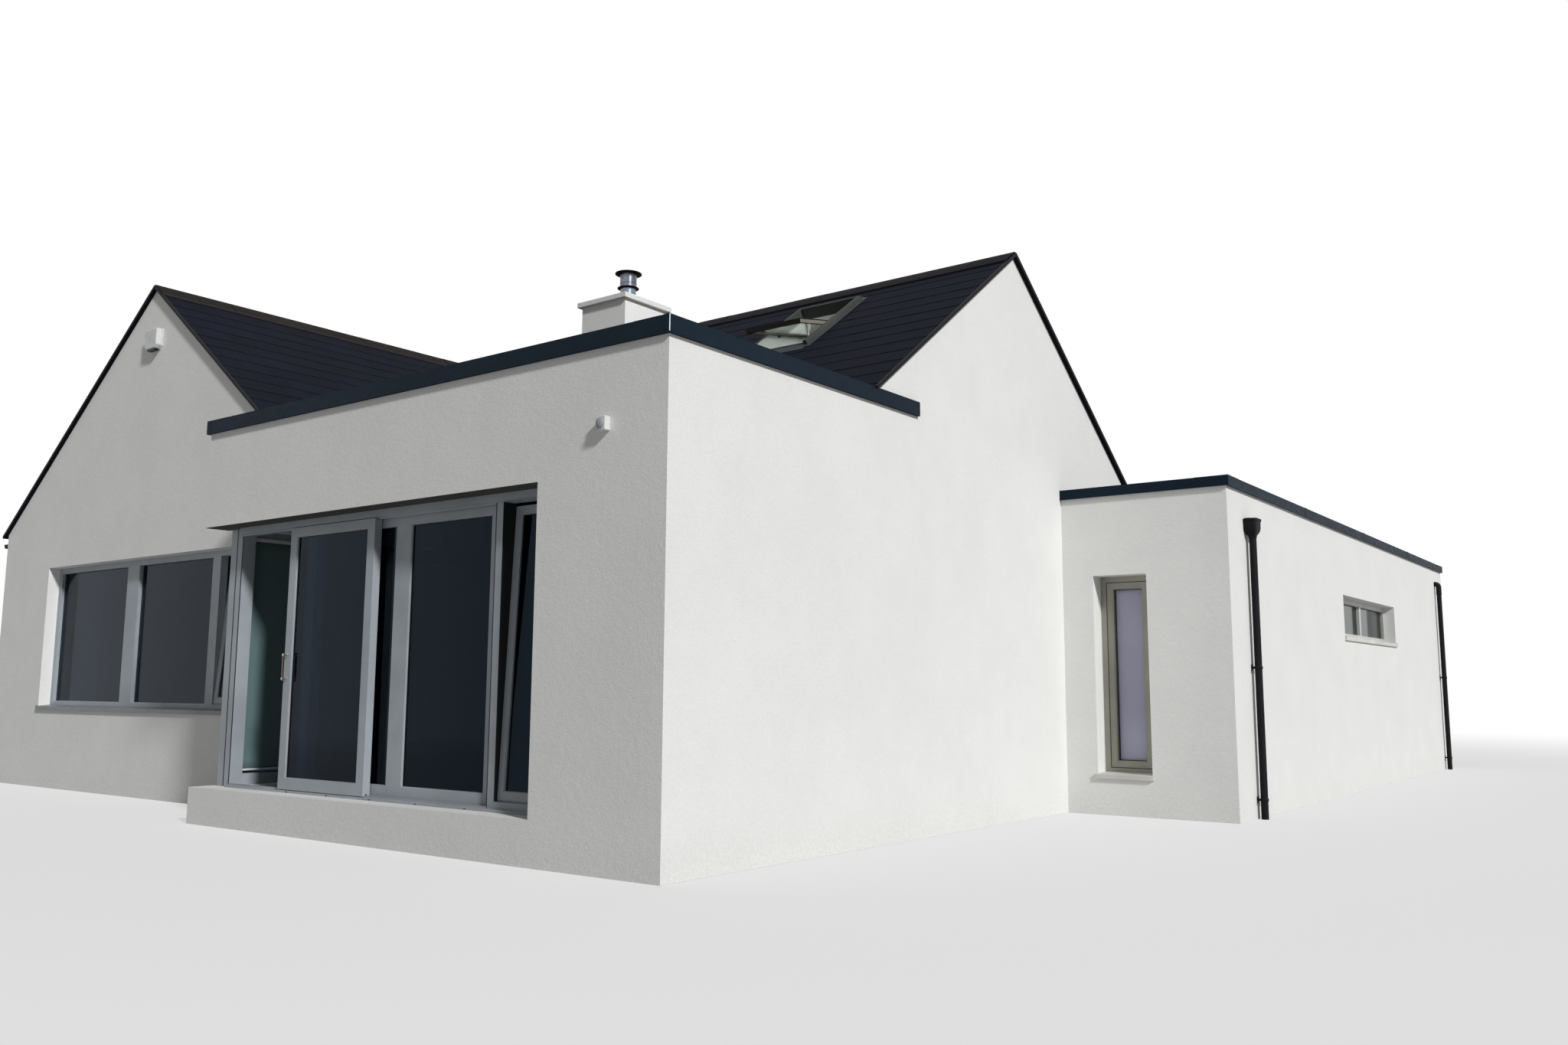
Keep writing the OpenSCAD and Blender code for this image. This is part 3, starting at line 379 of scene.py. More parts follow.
def srgb(red: float, green: float, blue: float) -> Colour:
    """A colour written from 0 to 255 on a screen, as linear light with full alpha.

    Dark parts are divided by 12.92; the rest go to the power 2.4 after an offset of 0.055.

    Args:
        red: its red part.
        green: its green part.
        blue: its blue part.

    Returns:
        Linear red, green and blue, and 1.
    """
    parts = np.array((red, green, blue)) / 255
    linear = np.where(parts <= 0.04045, parts / 12.92, ((parts + 0.055) / 1.055) ** 2.4)
    return (*(float(x) for x in linear), 1.0)


SPLASH = srgb(150, 138, 118)
SCUFF = srgb(190, 192, 190)
LICHEN = srgb(120, 122, 120)
SOOT = srgb(70, 52, 42)
PUDDLE = srgb(70, 68, 64)


class Nodes:
    """Adds shader nodes to one tree."""

    def __init__(self, tree: bpy.types.NodeTree) -> None:
        """Empties the tree that the nodes go into."""
        self.tree = tree
        tree.nodes.clear()

    def add(self, kind: str, inputs: Inputs | None = None, **settings: object) -> bpy.types.Node:
        """Adds a node.

        Args:
            kind: the node's type without its ShaderNode prefix.
            inputs: values or output sockets for its inputs, by name or number.
            settings: the node's own properties.

        Returns:
            The new node.
        """
        node = self.tree.nodes.new("ShaderNode" + kind)
        for key, value in settings.items():
            setattr(node, key, value)
        self.feed(node, inputs or {})
        return node

    def feed(self, node: bpy.types.Node, inputs: Inputs) -> None:
        """Sets or links a node's inputs.

        Args:
            node: the node.
            inputs: values or output sockets for its inputs, by name or number.
        """
        for key, value in inputs.items():
            if isinstance(value, Socket):
                self.tree.links.new(value, node.inputs[key])
            else:
                node.inputs[key].default_value = value

    def math(self, operation: str, a: Socket | float, b: Socket | float = 0.0) -> Socket:
        """The output of a Math node."""
        return self.add("Math", {0: a, 1: b}, operation=operation).outputs[0]

    def times(self, a: Socket | float, b: Socket | float) -> Socket:
        """The product of two values."""
        return self.math("MULTIPLY", a, b)

    def blend(self, mask: Socket, a: Socket | Colour, b: Socket | Colour) -> Socket:
        """A colour that goes from a to b with a mask."""
        return self.add("Mix", {0: mask, 6: a, 7: b}, data_type="RGBA").outputs[2]

    def noise(self, vector: Socket, scale: float, detail: float = 3.0,
              rough: float = 0.5) -> Socket:
        """The grey output of a Noise texture."""
        inputs = {"Vector": vector, "Scale": scale, "Detail": detail, "Roughness": rough}
        return self.add("TexNoise", inputs).outputs[0]

    def stretch(self, vector: Socket, scale: Point) -> Socket:
        """A vector scaled along each axis."""
        return self.add("Mapping", {"Vector": vector, "Scale": scale}).outputs[0]

    def ramp(self, value: Socket, low: float, high: float) -> Socket:
        """A mask that rises smoothly from 0 at low to 1 at high."""
        inputs = {"Value": value, "From Min": low, "From Max": high}
        return self.add("MapRange", inputs, interpolation_type="SMOOTHSTEP").outputs[0]

    def place(self) -> Socket:
        """The point in the object's own frame, in metres."""
        return self.add("TexCoord").outputs["Object"]


class Effect(Enum):
    """The shared effects, each of which is one node group."""

    MOTTLE = "soft_mottle"
    GRAIN = "fine_grain"
    STREAK = "rain_streaks"


def effect_group(effect: Effect) -> bpy.types.NodeTree:
    """Builds a shared effect once.

    MOTTLE mixes two colours with a soft noise of a given size. GRAIN gives the height of a
    fine surface, small bumps on larger ones. STREAK gives a mask of marks drawn out downward.

    Args:
        effect: which one.

    Returns:
        Its node group.
    """
    if effect.value in bpy.data.node_groups:
        return bpy.data.node_groups[effect.value]
    tree = bpy.data.node_groups.new(effect.value, "ShaderNodeTree")
    nodes = Nodes(tree)
    sockets = [("Vector", "INPUT", "Vector"), ("Scale", "INPUT", "Float"),
               ("Value", "OUTPUT", "Float")]
    if effect is Effect.MOTTLE:
        sockets += [("Colour", "INPUT", "Color"), ("Shade", "INPUT", "Color"),
                    ("Colour", "OUTPUT", "Color")]
    for name, way, kind in sockets:
        tree.interface.new_socket(name, in_out=way, socket_type="NodeSocket" + kind)
    source = tree.nodes.new("NodeGroupInput").outputs
    sink = tree.nodes.new("NodeGroupOutput")
    vector, scale = source["Vector"], source["Scale"]
    if effect is Effect.MOTTLE:
        value = nodes.ramp(nodes.noise(vector, scale, 5.0, 0.62), 0.32, 0.68)
        nodes.feed(sink, {"Colour": nodes.blend(value, source["Colour"], source["Shade"])})
    elif effect is Effect.GRAIN:
        small = nodes.noise(vector, scale, 4.0, 0.65)
        wide = nodes.noise(vector, nodes.times(scale, 0.23), 2.0)
        value = nodes.math("ADD", nodes.times(small, 0.6), nodes.times(wide, 0.4))
    else:
        drawn = nodes.stretch(vector, (1.0, 1.0, 0.07))
        value = nodes.ramp(nodes.noise(drawn, scale, 4.0, 0.6), 0.52, 0.78)
    nodes.feed(sink, {"Value": value})
    return tree


class Coat(Nodes):
    """The nodes of one finish's material, with its shader and the point its patterns read."""

    def __init__(self, finish: "Finish") -> None:
        """Makes the material, its shader and its output.

        Args:
            finish: gives the name, colour, roughness and specular level.
        """
        made = bpy.data.materials.new(finish.name)
        made.use_nodes = True
        super().__init__(made.node_tree)
        self.finish = finish
        made.diffuse_color = finish.shade(1.0)
        self.shader = self.add("BsdfPrincipled", {
            "Base Color": finish.shade(1.0), "Roughness": finish.rough,
            "Specular IOR Level": finish.specular,
        })
        self.add("OutputMaterial", {"Surface": self.shader.outputs[0]})
        self.point = finish.where(self)

    def cover(self, inputs: Inputs) -> None:
        """Sets or links the shader's inputs."""
        self.feed(self.shader, inputs)

    def drawn(self, out: Point | None) -> Socket:
        """The point that patterns read, scaled along each axis where out is given."""
        return self.stretch(self.point, out) if out else self.point

    def height(self) -> Socket:
        """The point's z."""
        return self.add("SeparateXYZ", {0: self.point}).outputs[2]

    def patches(self, scale: float, low: float, high: float, detail: float = 3.0,
                rough: float = 0.5, out: Point | None = None) -> Socket:
        """A mask of noise patches: 0 where the noise is under low and 1 where it is over high."""
        return self.ramp(self.noise(self.drawn(out), scale, detail, rough), low, high)

    def effect(self, kind: Effect, scale: float, **more: object) -> bpy.types.NodeOutputs:
        """Places a shared effect at the point; more gives other inputs or another Vector."""
        inputs = {"Vector": self.point, "Scale": scale, **more}
        return self.add("Group", inputs, node_tree=effect_group(kind)).outputs

    def mottle(self, scale: float, dark: float, light: float = 1.0) -> bpy.types.NodeOutputs:
        """Places a soft mottle between two factors of the finish's light."""
        tones = {"Colour": self.finish.shade(light), "Shade": self.finish.shade(dark)}
        return self.effect(Effect.MOTTLE, scale, **tones)

    def bump(self, height: Socket, depth: float) -> None:
        """Raises the surface by a height from 0 to 1, times that many metres."""
        raised = self.add("Bump", {"Height": height, "Distance": depth})
        self.cover({"Normal": raised.outputs[0]})

    def grain(self, scale: float, depth: float, out: Point | None = None) -> None:
        """Gives the surface a fine grain that many metres deep."""
        self.bump(self.effect(Effect.GRAIN, scale, Vector=self.drawn(out))["Value"], depth)


@dataclass(frozen=True)
class Finish:
    """A covering: its name, screen colour, roughness and specular level, faintly mottled."""

    name: str
    colour: Point
    rough: float = 0.6
    specular: float = 0.5

    def material(self) -> bpy.types.Material:
        """Builds the material once.

        Returns:
            The material of this finish.
        """
        if self.name not in bpy.data.materials:
            self.dress(Coat(self))
        return bpy.data.materials[self.name]

    def shade(self, factor: float) -> Colour:
        """The finish's colour, lighter or darker by a factor of its light."""
        return (*(min(part * factor, 1.0) for part in srgb(*self.colour)[:3]), 1.0)

    def where(self, nodes: Nodes) -> Socket:
        """The point that patterns read: the place in the object's own frame."""
        return nodes.place()

    def dress(self, coat: Coat) -> None:
        """Adds a faint mottle and a fine grain."""
        coat.cover({"Base Color": coat.mottle(3.0, 0.9)["Colour"]})
        coat.grain(90.0, 0.0004)


@dataclass(frozen=True)
class Masonry(Finish):
    """Sand-textured render, faintly uneven in tone, with soft rain marks and a dusty foot."""

    foot: float = 0.35

    def dress(self, coat: Coat) -> None:
        """Adds trowel mottling, rain marks, the dusty foot and the sand grain.

        Args:
            coat: the material being made.
        """
        fine = coat.mottle(42.0, 0.80)["Value"]
        patchy = coat.mottle(1.6, 0.965)["Colour"]
        sandy = coat.blend(coat.times(fine, 0.08), patchy, self.shade(0.55))
        marks = coat.effect(Effect.STREAK, 2.6)["Value"]
        washed = coat.blend(coat.times(marks, 0.035), sandy, self.shade(0.5))
        low = coat.ramp(coat.height(), self.foot, 0.0)
        splash = coat.times(coat.times(low, fine), 0.10)
        coat.cover({"Base Color": coat.blend(splash, washed, SPLASH)})
        coat.grain(80.0, 0.0042)


@dataclass(frozen=True)
class Coated(Finish):
    """Satin coated metal with a very fine orange-peel skin, dust and faint pale scuffs."""

    scuffs: float = 0.12

    def dress(self, coat: Coat) -> None:
        """Adds dust that follows the rain, scuffs and the skin of the coating.

        Args:
            coat: the material being made.
        """
        base = coat.mottle(1.3, 0.86, 1.08)["Colour"]
        marks = coat.patches(9.0, 0.62, 0.74, 8.0, 0.7, (1.0, 1.0, 5.0))
        worn = coat.blend(coat.times(marks, self.scuffs), base, SCUFF)
        uneven = coat.times(coat.patches(24.0, 0.2, 0.8), 0.14)
        coat.cover({"Base Color": worn, "Roughness": coat.math("ADD", uneven, self.rough - 0.07)})
        coat.grain(420.0, 0.00012)


@dataclass(frozen=True)
class Riven(Finish):
    """Riven slate or ridge tile: each piece takes its own tone, with fine layered ripples."""

    ripple: float = 34.0
    depth: float = 0.0016
    warm: Point = (58, 52, 50)
    spread: float = 0.12
    foot: float = 0.0

    def dress(self, coat: Coat) -> None:
        """Adds the tone of each piece, weathering patches and the riven grain.

        Args:
            coat: the material being made.
        """
        tone = coat.add("Attribute", attribute_name="tone").outputs["Fac"]
        own = coat.blend(tone, self.shade(1 - self.spread), self.shade(1 + self.spread))
        patch = coat.times(coat.patches(0.9, 0.45, 0.75, 6.0, 0.6), 0.3)
        specks = coat.times(coat.patches(60.0, 0.60, 0.72, 4.0, 0.7), 0.02)
        colour = coat.blend(specks, coat.blend(patch, own, srgb(*self.warm)), LICHEN)
        if self.foot:
            low = coat.times(coat.ramp(coat.height(), self.foot + 0.05, self.foot), 0.8)
            colour = coat.blend(low, colour, srgb(*self.warm))
        rough = coat.math("ADD", coat.times(tone, 0.1), self.rough - 0.05)
        coat.cover({"Base Color": colour, "Roughness": rough})
        coat.grain(self.ripple, self.depth)


@dataclass(frozen=True)
class Steel(Finish):
    """Rolled stainless steel with fine lines round it and a slightly sooty top."""

    soot_z: float = 6.12

    def dress(self, coat: Coat) -> None:
        """Adds rolling lines and soot toward the top.

        Args:
            coat: the material being made.
        """
        lines = coat.patches(30.0, 0.3, 0.7, 2.0, out=(1.0, 1.0, 40.0))
        base = coat.blend(lines, self.shade(1.0), self.shade(0.82))
        high = coat.ramp(coat.height(), self.soot_z - 0.1, self.soot_z + 0.06)
        sooty = coat.times(high, coat.patches(14.0, 0.35, 0.6))
        colour = coat.blend(coat.times(sooty, 0.55), base, SOOT)
        coat.cover({"Base Color": colour, "Metallic": 1.0})
        coat.grain(60.0, 0.00004, (1.0, 1.0, 20.0))


@dataclass(frozen=True)
class Glazing(Finish):
    """Sealed glass, tinted by its colour, with a trace of dust, and a specular tint that colours its
    reflections.
    """

    bend: float = 1.2
    # The blue default tint colours the studio's reflections like a blue sky: a painted reflection.
    tint: Point = (0.15, 0.55, 1.0)

    def dress(self, coat: Coat) -> None:
        """Makes it transmit, and adds faint dust to its roughness.

        Args:
            coat: the material being made.
        """
        dust = coat.times(coat.patches(5.0, 0.5, 0.8, 5.0, 0.6), 0.03)
        coat.cover({
            "Transmission Weight": 1.0, "IOR": self.bend, "Specular Tint": (*self.tint, 1.0),
            "Roughness": dust, "Base Color": coat.mottle(0.8, 0.92)["Colour"],
        })


@dataclass(frozen=True)
class Membrane(Finish):
    """Flat-roof sheet: dust patches left by puddles and a pressed texture."""

    def dress(self, coat: Coat) -> None:
        """Adds puddle marks with darker rims and the pressed grain.

        Args:
            coat: the material being made.
        """
        inner, outer = coat.patches(0.7, 0.50, 0.54), coat.patches(0.7, 0.54, 0.62)
        rim = coat.times(coat.math("SUBTRACT", inner, outer), 0.4)
        base = coat.mottle(2.2, 0.8)["Colour"]
        coat.cover({"Base Color": coat.blend(rim, base, PUDDLE)})
        coat.grain(300.0, 0.0006)


@dataclass(frozen=True)
class Timber(Finish):
    """Lacquered pale softwood: growth lines drawn out along one axis."""

    along: Point = (1.0, 14.0, 14.0)
    lines: float = 0.72

    def dress(self, coat: Coat) -> None:
        """Adds growth lines and a light coat.

        Args:
            coat: the material being made.
        """
        rings = coat.patches(6.0, 0.35, 0.65, 6.0, 0.6, self.along)
        colour = coat.blend(rings, self.shade(1.0), self.shade(self.lines))
        coat.cover({"Base Color": colour, "Coat Weight": 0.3})
        coat.grain(20.0, 0.0002, self.along)


@dataclass(frozen=True)
class Cloth(Finish):
    """Woven blind cloth: threads crossing at right angles in the sheet's own measures."""

    threads: float = 45.0

    def where(self, nodes: Nodes) -> Socket:
        """The point that patterns read: the sheet's own measures."""
        return nodes.add("UVMap", uv_map="weave").outputs[0]

    def dress(self, coat: Coat) -> None:
        """Adds the weave and a soft unevenness.

        Args:
            coat: the material being made.
        """
        wave = {"Vector": coat.point, "Scale": self.threads, "Distortion": 0.4}
        warp, weft = (coat.add("TexWave", wave, bands_direction=way).outputs["Fac"]
                      for way in ("X", "Y"))
        woven = coat.times(warp, weft)
        colour = coat.blend(woven, self.shade(0.86), self.shade(1.08))
        soft = coat.blend(coat.patches(3.0, 0.3, 0.7), colour, self.shade(0.95))
        coat.cover({"Base Color": soft, "Sheen Weight": 0.2})
        coat.bump(woven, 0.0004)


@dataclass(frozen=True)
class Moulded(Finish):
    """Moulded plastic or rubber with a fine spark texture and settled dust."""

    def dress(self, coat: Coat) -> None:
        """Adds dust and the spark texture."""
        coat.cover({"Base Color": coat.mottle(7.0, 0.84)["Colour"]})
        coat.grain(500.0, 0.00015)


RENDER = Masonry("white_render", (231, 231, 229), 0.92, 0.2)
# A lighter copy of the walls' render for the stack: painted light for the extra light the stack
# catches.
LIT_STACK_RENDER = Masonry("stack_render_painted_light", (246, 246, 244), 0.92, 0.2)
SMOOTH_RENDER = Masonry("cast_capstone", (240, 240, 238), 0.85, 0.2)
CAPPING = Coated("capping_coat", (24, 36, 47), 0.5, 0.05, scuffs=0.02)
SLATE = Riven("roof_slate", (23, 26, 36), 0.85, 0.04, ripple=22.0, depth=0.0028,
              warm=(30, 29, 34), spread=0.32)
RIDGE_DARK = Riven("ridge_dark", (26, 25, 28), 0.85, 0.05, warm=(40, 36, 36))
RIDGE_BROWN = Riven("ridge_brown", (34, 31, 31), 0.85, 0.05, warm=(60, 54, 50), spread=0.3,
                    foot=5.60)
MORTAR = Finish("ridge_mortar", (48, 45, 44), 0.95, 0.1)
TRIM = Moulded("rainwater_plastic", (24, 23, 27), 0.6, 0.1)
FRAME = Coated("frame_coat", (157, 164, 170), 0.45, 0.25, scuffs=0.03)
FRAME_WARM = Coated("frame_coat_warm", (160, 159, 148), 0.4, 0.3, scuffs=0.03)
FRAME_PALE = Coated("frame_coat_pale", (186, 188, 184), 0.4, 0.4, scuffs=0.03)
SILL = Coated("sill_coat", (116, 121, 125), 0.42, 0.4, scuffs=0.05)
SILL_PALE = Coated("sill_pale", (205, 204, 198), 0.55, 0.4, scuffs=0.05)
# Dark tinted glass; its blue cast, in the base colour and the blue specular tint, paints the blue of
# a sky reflection.
DARK_GLASS = Glazing("tinted_glass", (58, 84, 110), 0.0)
LILAC_GLASS = Glazing("lilac_glass", (238, 238, 244), 0.0, tint=(0.6, 0.6, 0.8))
GREY_GLASS = Glazing("grey_glass", (190, 196, 198), 0.0, tint=(0.6, 0.7, 0.8))
ROOF_GLASS = Glazing("roof_glass", (236, 246, 240), 0.0, bend=1.5, tint=(0.9, 1.0, 0.94))
GASKET = Moulded("black_gasket", (22, 23, 25), 0.65, 0.3)
CONCRETE = Finish("floor_concrete", (150, 148, 143), 0.8, 0.3)
FELT = Membrane("roof_membrane", (98, 101, 104), 0.75, 0.3)
# The steel's blue-grey cast paints the blue of a sky reflection into it.
FLUE = Steel("rolled_steel", (128, 138, 152), 0.3)
SOOTY = Moulded("sooty_metal", (30, 15, 16), 0.5, 0.06)
# A pale steel bead that paints the highlight of the box's sunlit front corner.
HIGHLIGHT_BEAD = Steel("corner_highlight_bead", (214, 220, 224), 0.5, soot_z=50.0)
HANDLE = Steel("warm_steel", (206, 192, 178), 0.3, soot_z=50.0)
WHITE_PLASTIC = Moulded("case_plastic", (220, 221, 221), 0.6, 0.15)
DOME_PLASTIC = Moulded("dome_plastic", (160, 165, 170), 0.6, 0.15)
DARK_PLASTIC = Moulded("dark_plastic", (26, 22, 22), 0.4, 0.3)
KERB_CLAD = Coated("kerb_cladding", (70, 72, 69), 0.6, 0.06, scuffs=0.04)
SASH_CLAD = Coated("sash_cladding", (40, 38, 34), 0.6, 0.06, scuffs=0.03)
DARK_WOOD = Timber("stained_pine", (134, 130, 122), 0.6, 0.15, lines=0.9)
LINING = Timber("lining_board", (250, 251, 247), 0.6, 0.3, lines=0.96)
LEAD = Coated("lead_sheet", (70, 73, 78), 0.7, 0.1, scuffs=0.15)
BRONZE = Steel("handle_bronze", (104, 90, 80), 0.36, soot_z=50.0)
# A dark board under the header: partly its own colour, partly painted shade where the header's
# underside lies in shade.
SHADED_SOFFIT = Coated("soffit_board_and_shade", (78, 79, 72), 0.7, 0.05, scuffs=0.02)
# A pale curtain at the wide window's left end: painted light standing in for the sunlit inner reveal
# seen through the glass.
CURTAIN_PAINTED_LIGHT = Cloth("curtain_net_painted_light", (214, 214, 208), 0.95, threads=30.0)
BLIND_TEAL = Cloth("blind_teal", (98, 122, 124), 0.9, 0.2)
BLIND_LILAC = Cloth("blind_lilac", (206, 206, 220), 0.9)


# Carried-over construction nodes


@dataclass(frozen=True)
class Construction:
    """Gives each construction node its finish."""

    nodes: dict[str, bpy.types.Object]

    def dress(self) -> None:
        """Assigns the finishes."""
        plan: dict[Finish, str] = {
            RENDER: "screen_plinth box_pier box_header box_left_beam main_gable_wall "
                    "wing_front_wall wing_left_wall wing_rear_wall ext_front_wall "
                    "ext_right_wall ext_back_wall ext_left_wall",
            LIT_STACK_RENDER: "chimney_stack",
            SMOOTH_RENDER: "chimney_cap",
            CONCRETE: "floor_front floor_wing floor_rear",
            FELT: "box_deck ext_deck",
            CAPPING: "box_capping ext_capping",
            KERB_CLAD: "roof_window_frame",
            SLATE: "main_roof_front main_roof_rear wing_roof_left wing_roof_right",
            RIDGE_DARK: "main_ridge wing_ridge",
            TRIM: "verge_trims wing_gutter front_downpipe rear_downpipe",
            FLUE: "chimney_flue",
            FRAME: "wide_window_frame screen_frame screen_fixed_leaves screen_tilt_sash "
                   "sliding_leaf window_frames roof_window_sash",
            DARK_GLASS: "screen_glass sliding_leaf_glass roof_window_glass window_glass",
            SILL: "window_sills",
            HANDLE: "leaf_handles",
            WHITE_PLASTIC: "bell_box movement_sensor",
        }
        for finish, names in plan.items():
            for name in names.split():
                slots = self.nodes[name].data.materials
                slots.clear()
                slots.append(finish.material())
        log.info("construction: %d nodes dressed", len(self.nodes))


# Slated roofs


@dataclass(frozen=True)
class Slope:
    """One slated slope: s runs down from the ridge, u along it and n out of the surface."""

    name: str
    ridge: Point
    along: Point
    down: Point
    length: float
    gauge: float = 0.241
    width: float = 0.300
    lap: float = 0.055
    tail: float = 0.0070
    thick: float = 0.0060
    joint: float = 0.003
    least: float = 0.012
    shortest: float = 0.010
    head_n: float = 0.002
    uneven: Pair = (-0.0012, 0.0013)

    @property
    def out(self) -> Array:
        """The unit direction out of the surface."""
        out = np.cross(self.along, self.down)
        return out * np.sign(out[2])

    def at(self, u: Array | float, s: Array | float, n: Array | float) -> Array:
        """Points u along the ridge, s down the slope and n out of it."""
        return Plane(self.ridge, self.along, self.down, tuple(self.out)).at(u, s, n)

    def lay(self, shell: Shell, courses: range, low: Edge, high: Edge,
            rng: np.random.Generator) -> None:
        """Lays courses of slates between two edges.

        A slate's corners are its column and course times width and gauge, every other course
        half a slate along, held between the two edges; its tail stands proud of its head.

        Args:
            shell: takes the slates.
            courses: course numbers, counted up from the eaves.
            low: lower limit of u for distances down the slope.
            high: upper limit of u for distances down the slope.
            rng: spreads tones and small lifts.
        """
        course = np.array(courses, float)[:, None]
        tail = self.length - course * self.gauge
        head = np.maximum(tail - self.gauge - self.lap, self.least)
        ends = np.stack([low(tail), high(tail), low(head), high(head)])
        first = math.floor(ends.min() / self.width) - 1
        last = math.ceil(ends.max() / self.width) + 1
        column = np.arange(first, last)[None]
        left = (column + (course % 2) / 2) * self.width + self.joint / 2
        right = left + self.width - self.joint
        tail, head = np.broadcast_to(tail, left.shape), np.broadcast_to(head, left.shape)
        u = [np.clip(x, low(s), np.maximum(high(s), low(s)))
             for x, s in ((left, tail), (right, tail), (right, head), (left, head))]
        keep = (np.maximum(u[1] - u[0], u[2] - u[3]) > self.least) & (tail > head + self.shortest)
        s = [tail, tail, head, head]
        lift = rng.uniform(*self.uneven, left.shape)
        high_n = [self.tail + lift, self.tail + lift * 0.4, self.head_n, self.head_n]
        top = [self.at(u[i], s[i], high_n[i]) for i in range(4)]
        base = [self.at(u[i], s[i], high_n[i] - self.thick) for i in range(4)]
        corners = np.stack(base + top, axis=-2)[keep]
        shell.blocks(corners, rng.beta(2.2, 2.2, left.shape)[keep])


@dataclass
class SlateRoofs:
    """The four slated slopes with their ridges and verges."""

    rng: np.random.Generator = field(default_factory=lambda: np.random.default_rng(RNG_SEED))
    wing_run: float = 3.470
    gutter_reach: float = 0.055
    eaves_y: float = 2.279
    rear_run: float = 3.220
    courses: int = 19
    window_u: Pair = (-2.280, -1.500)
    window_gap: float = 0.006
    tile: float = 0.450
    tile_joint: float = 0.002
    chimney_gap: float = 0.0035
    ridge_end: float = -8.330
    main_stops: Pair = (3.115, 3.940)
    wing_stops: Pair = (3.967, 4.297)

    def build(self) -> None:
        """Builds the slates, then the ridges and the verges."""
        self.build_wing()
        self.build_main()
        self.build_ridges()
        self.build_verges()

    def wing_slope(self, side: int) -> Slope:
        """The wing's slope.

        Args:
            side: -1 on the left, over the gutter, or 1 on the right.

        Returns:
            The slope from the wing's ridge down.
        """
        down = (side * math.cos(WING_PITCH), 0.0, -math.sin(WING_PITCH))
        run = self.wing_run + (self.gutter_reach if side < 0 else 0.0)
        name = "wing_slates_left" if side < 0 else "wing_slates_right"
        ridge = (WING_RIDGE_X, 0, WING_RIDGE_Z)
        return Slope(name, ridge, (0, 1, 0), down, run / math.cos(WING_PITCH))

    def main_slope(self, side: int) -> Slope:
        """The main block's slope.

        Args:
            side: -1 at the front or 1 at the rear.

        Returns:
            The slope from the main ridge down.
        """
        down = (0.0, side * math.cos(MAIN_PITCH), -math.sin(MAIN_PITCH))
        run = MAIN_RIDGE_Y - self.eaves_y if side < 0 else self.rear_run
        name = "main_slates_front" if side < 0 else "main_slates_rear"
        ridge = (0, MAIN_RIDGE_Y, MAIN_RIDGE_Z)
        return Slope(name, ridge, (1, 0, 0), down, run / math.cos(MAIN_PITCH))

    @staticmethod
    def straight(value: float) -> Edge:
        """An edge that stays at one value of u all the way down the slope."""
        return lambda s: s * 0 + value

    @staticmethod
    def valley_x(s: Array) -> Array:
        """Where the main slope meets the wing's, s down the main slope."""
        level = MAIN_RIDGE_Z - np.asarray(s) * math.sin(MAIN_PITCH)
        return WING_RIDGE_X + (WING_RIDGE_Z - level) / math.tan(WING_PITCH)

    @staticmethod
    def valley_off(s: Array) -> Array:
        """Half the length along the wing's ridge that the main roof takes, s down the wing."""
        level = WING_RIDGE_Z - np.asarray(s) * math.sin(WING_PITCH)
        return np.maximum(MAIN_RIDGE_Z - level, 0.0) / math.tan(MAIN_PITCH)

    def cover(self, slope: Slope, *parts: tuple[range, Edge, Edge]) -> None:
        """Lays one slope's slates.

        Args:
            slope: where they lie.
            parts: courses with their lower and upper limit of u, in the order of laying.
        """
        shell = Shell(slope.name)
        for courses, low, high in parts:
            slope.lay(shell, courses, low, high, self.rng)
        shell.build(SLATE, "slate")

    def build_wing(self) -> None:
        """Lays the wing's two slopes, the right one with the main roof let into it."""
        near, far = self.straight(WING_Y0 - VERGE_OUT), self.straight(WING_Y1 + VERGE_OUT)
        self.cover(self.wing_slope(-1), (range(self.courses), near, far))
        right = self.wing_slope(1)
        met = (WING_RIDGE_Z - MAIN_RIDGE_Z) / math.sin(WING_PITCH)
        whole = int((right.length - met) / right.gauge) + 1
        self.cover(right,
                   (range(whole, self.courses), near, far),
                   (range(2, whole), near, lambda s: MAIN_RIDGE_Y - self.valley_off(s)),
                   (range(whole), lambda s: MAIN_RIDGE_Y + self.valley_off(s), far))

    def build_main(self) -> None:
        """Lays the main block's slopes round the chimney and the roof window."""
        flat, valley = self.straight, self.valley_x
        verge, box, short = flat(VERGE_OUT), flat(BOX_X0), flat(-0.01)
        window, stack = range(7, 12), range(12, 15)
        west, east = flat(STACK[0] - STACK_HALF), flat(STACK[0] + STACK_HALF)
        before, after = (flat(self.window_u[0] - self.window_gap),
                         flat(self.window_u[1] + self.window_gap))
        self.cover(self.main_slope(-1),
                   (range(-1, 0), valley, box), (range(0, 1), valley, short),
                   (range(1, 7), valley, verge),
                   (window, valley, before), (window, after, verge),
                   (stack, valley, west), (stack, east, verge))
        self.cover(self.main_slope(1), (range(15), valley, verge),
                   (range(15, 18), valley, west), (range(15, 18), east, verge))

    @staticmethod
    def ridge_section(pitch: float, leg: float, thick: float, lift: float) -> Array:
        """An angular ridge tile's section: two legs over the apex, eased at the top.

        Args:
            pitch: the slopes' angle.
            leg: length of each leg along its slope.
            thick: upright thickness.
            lift: height of its underside over the apex.

        Returns:
            (8, 2), across and up from the apex.
        """
        c, t = leg * math.cos(pitch), math.tan(pitch)
        ease, top = 0.02, thick + lift
        return np.array([
            (0, top - ease * t * 0.45), (ease, top - ease * t), (c, top - c * t),
            (c, lift - c * t), (0, lift), (-c, lift - c * t), (-c, top - c * t),
            (-ease, top - ease * t),
        ])

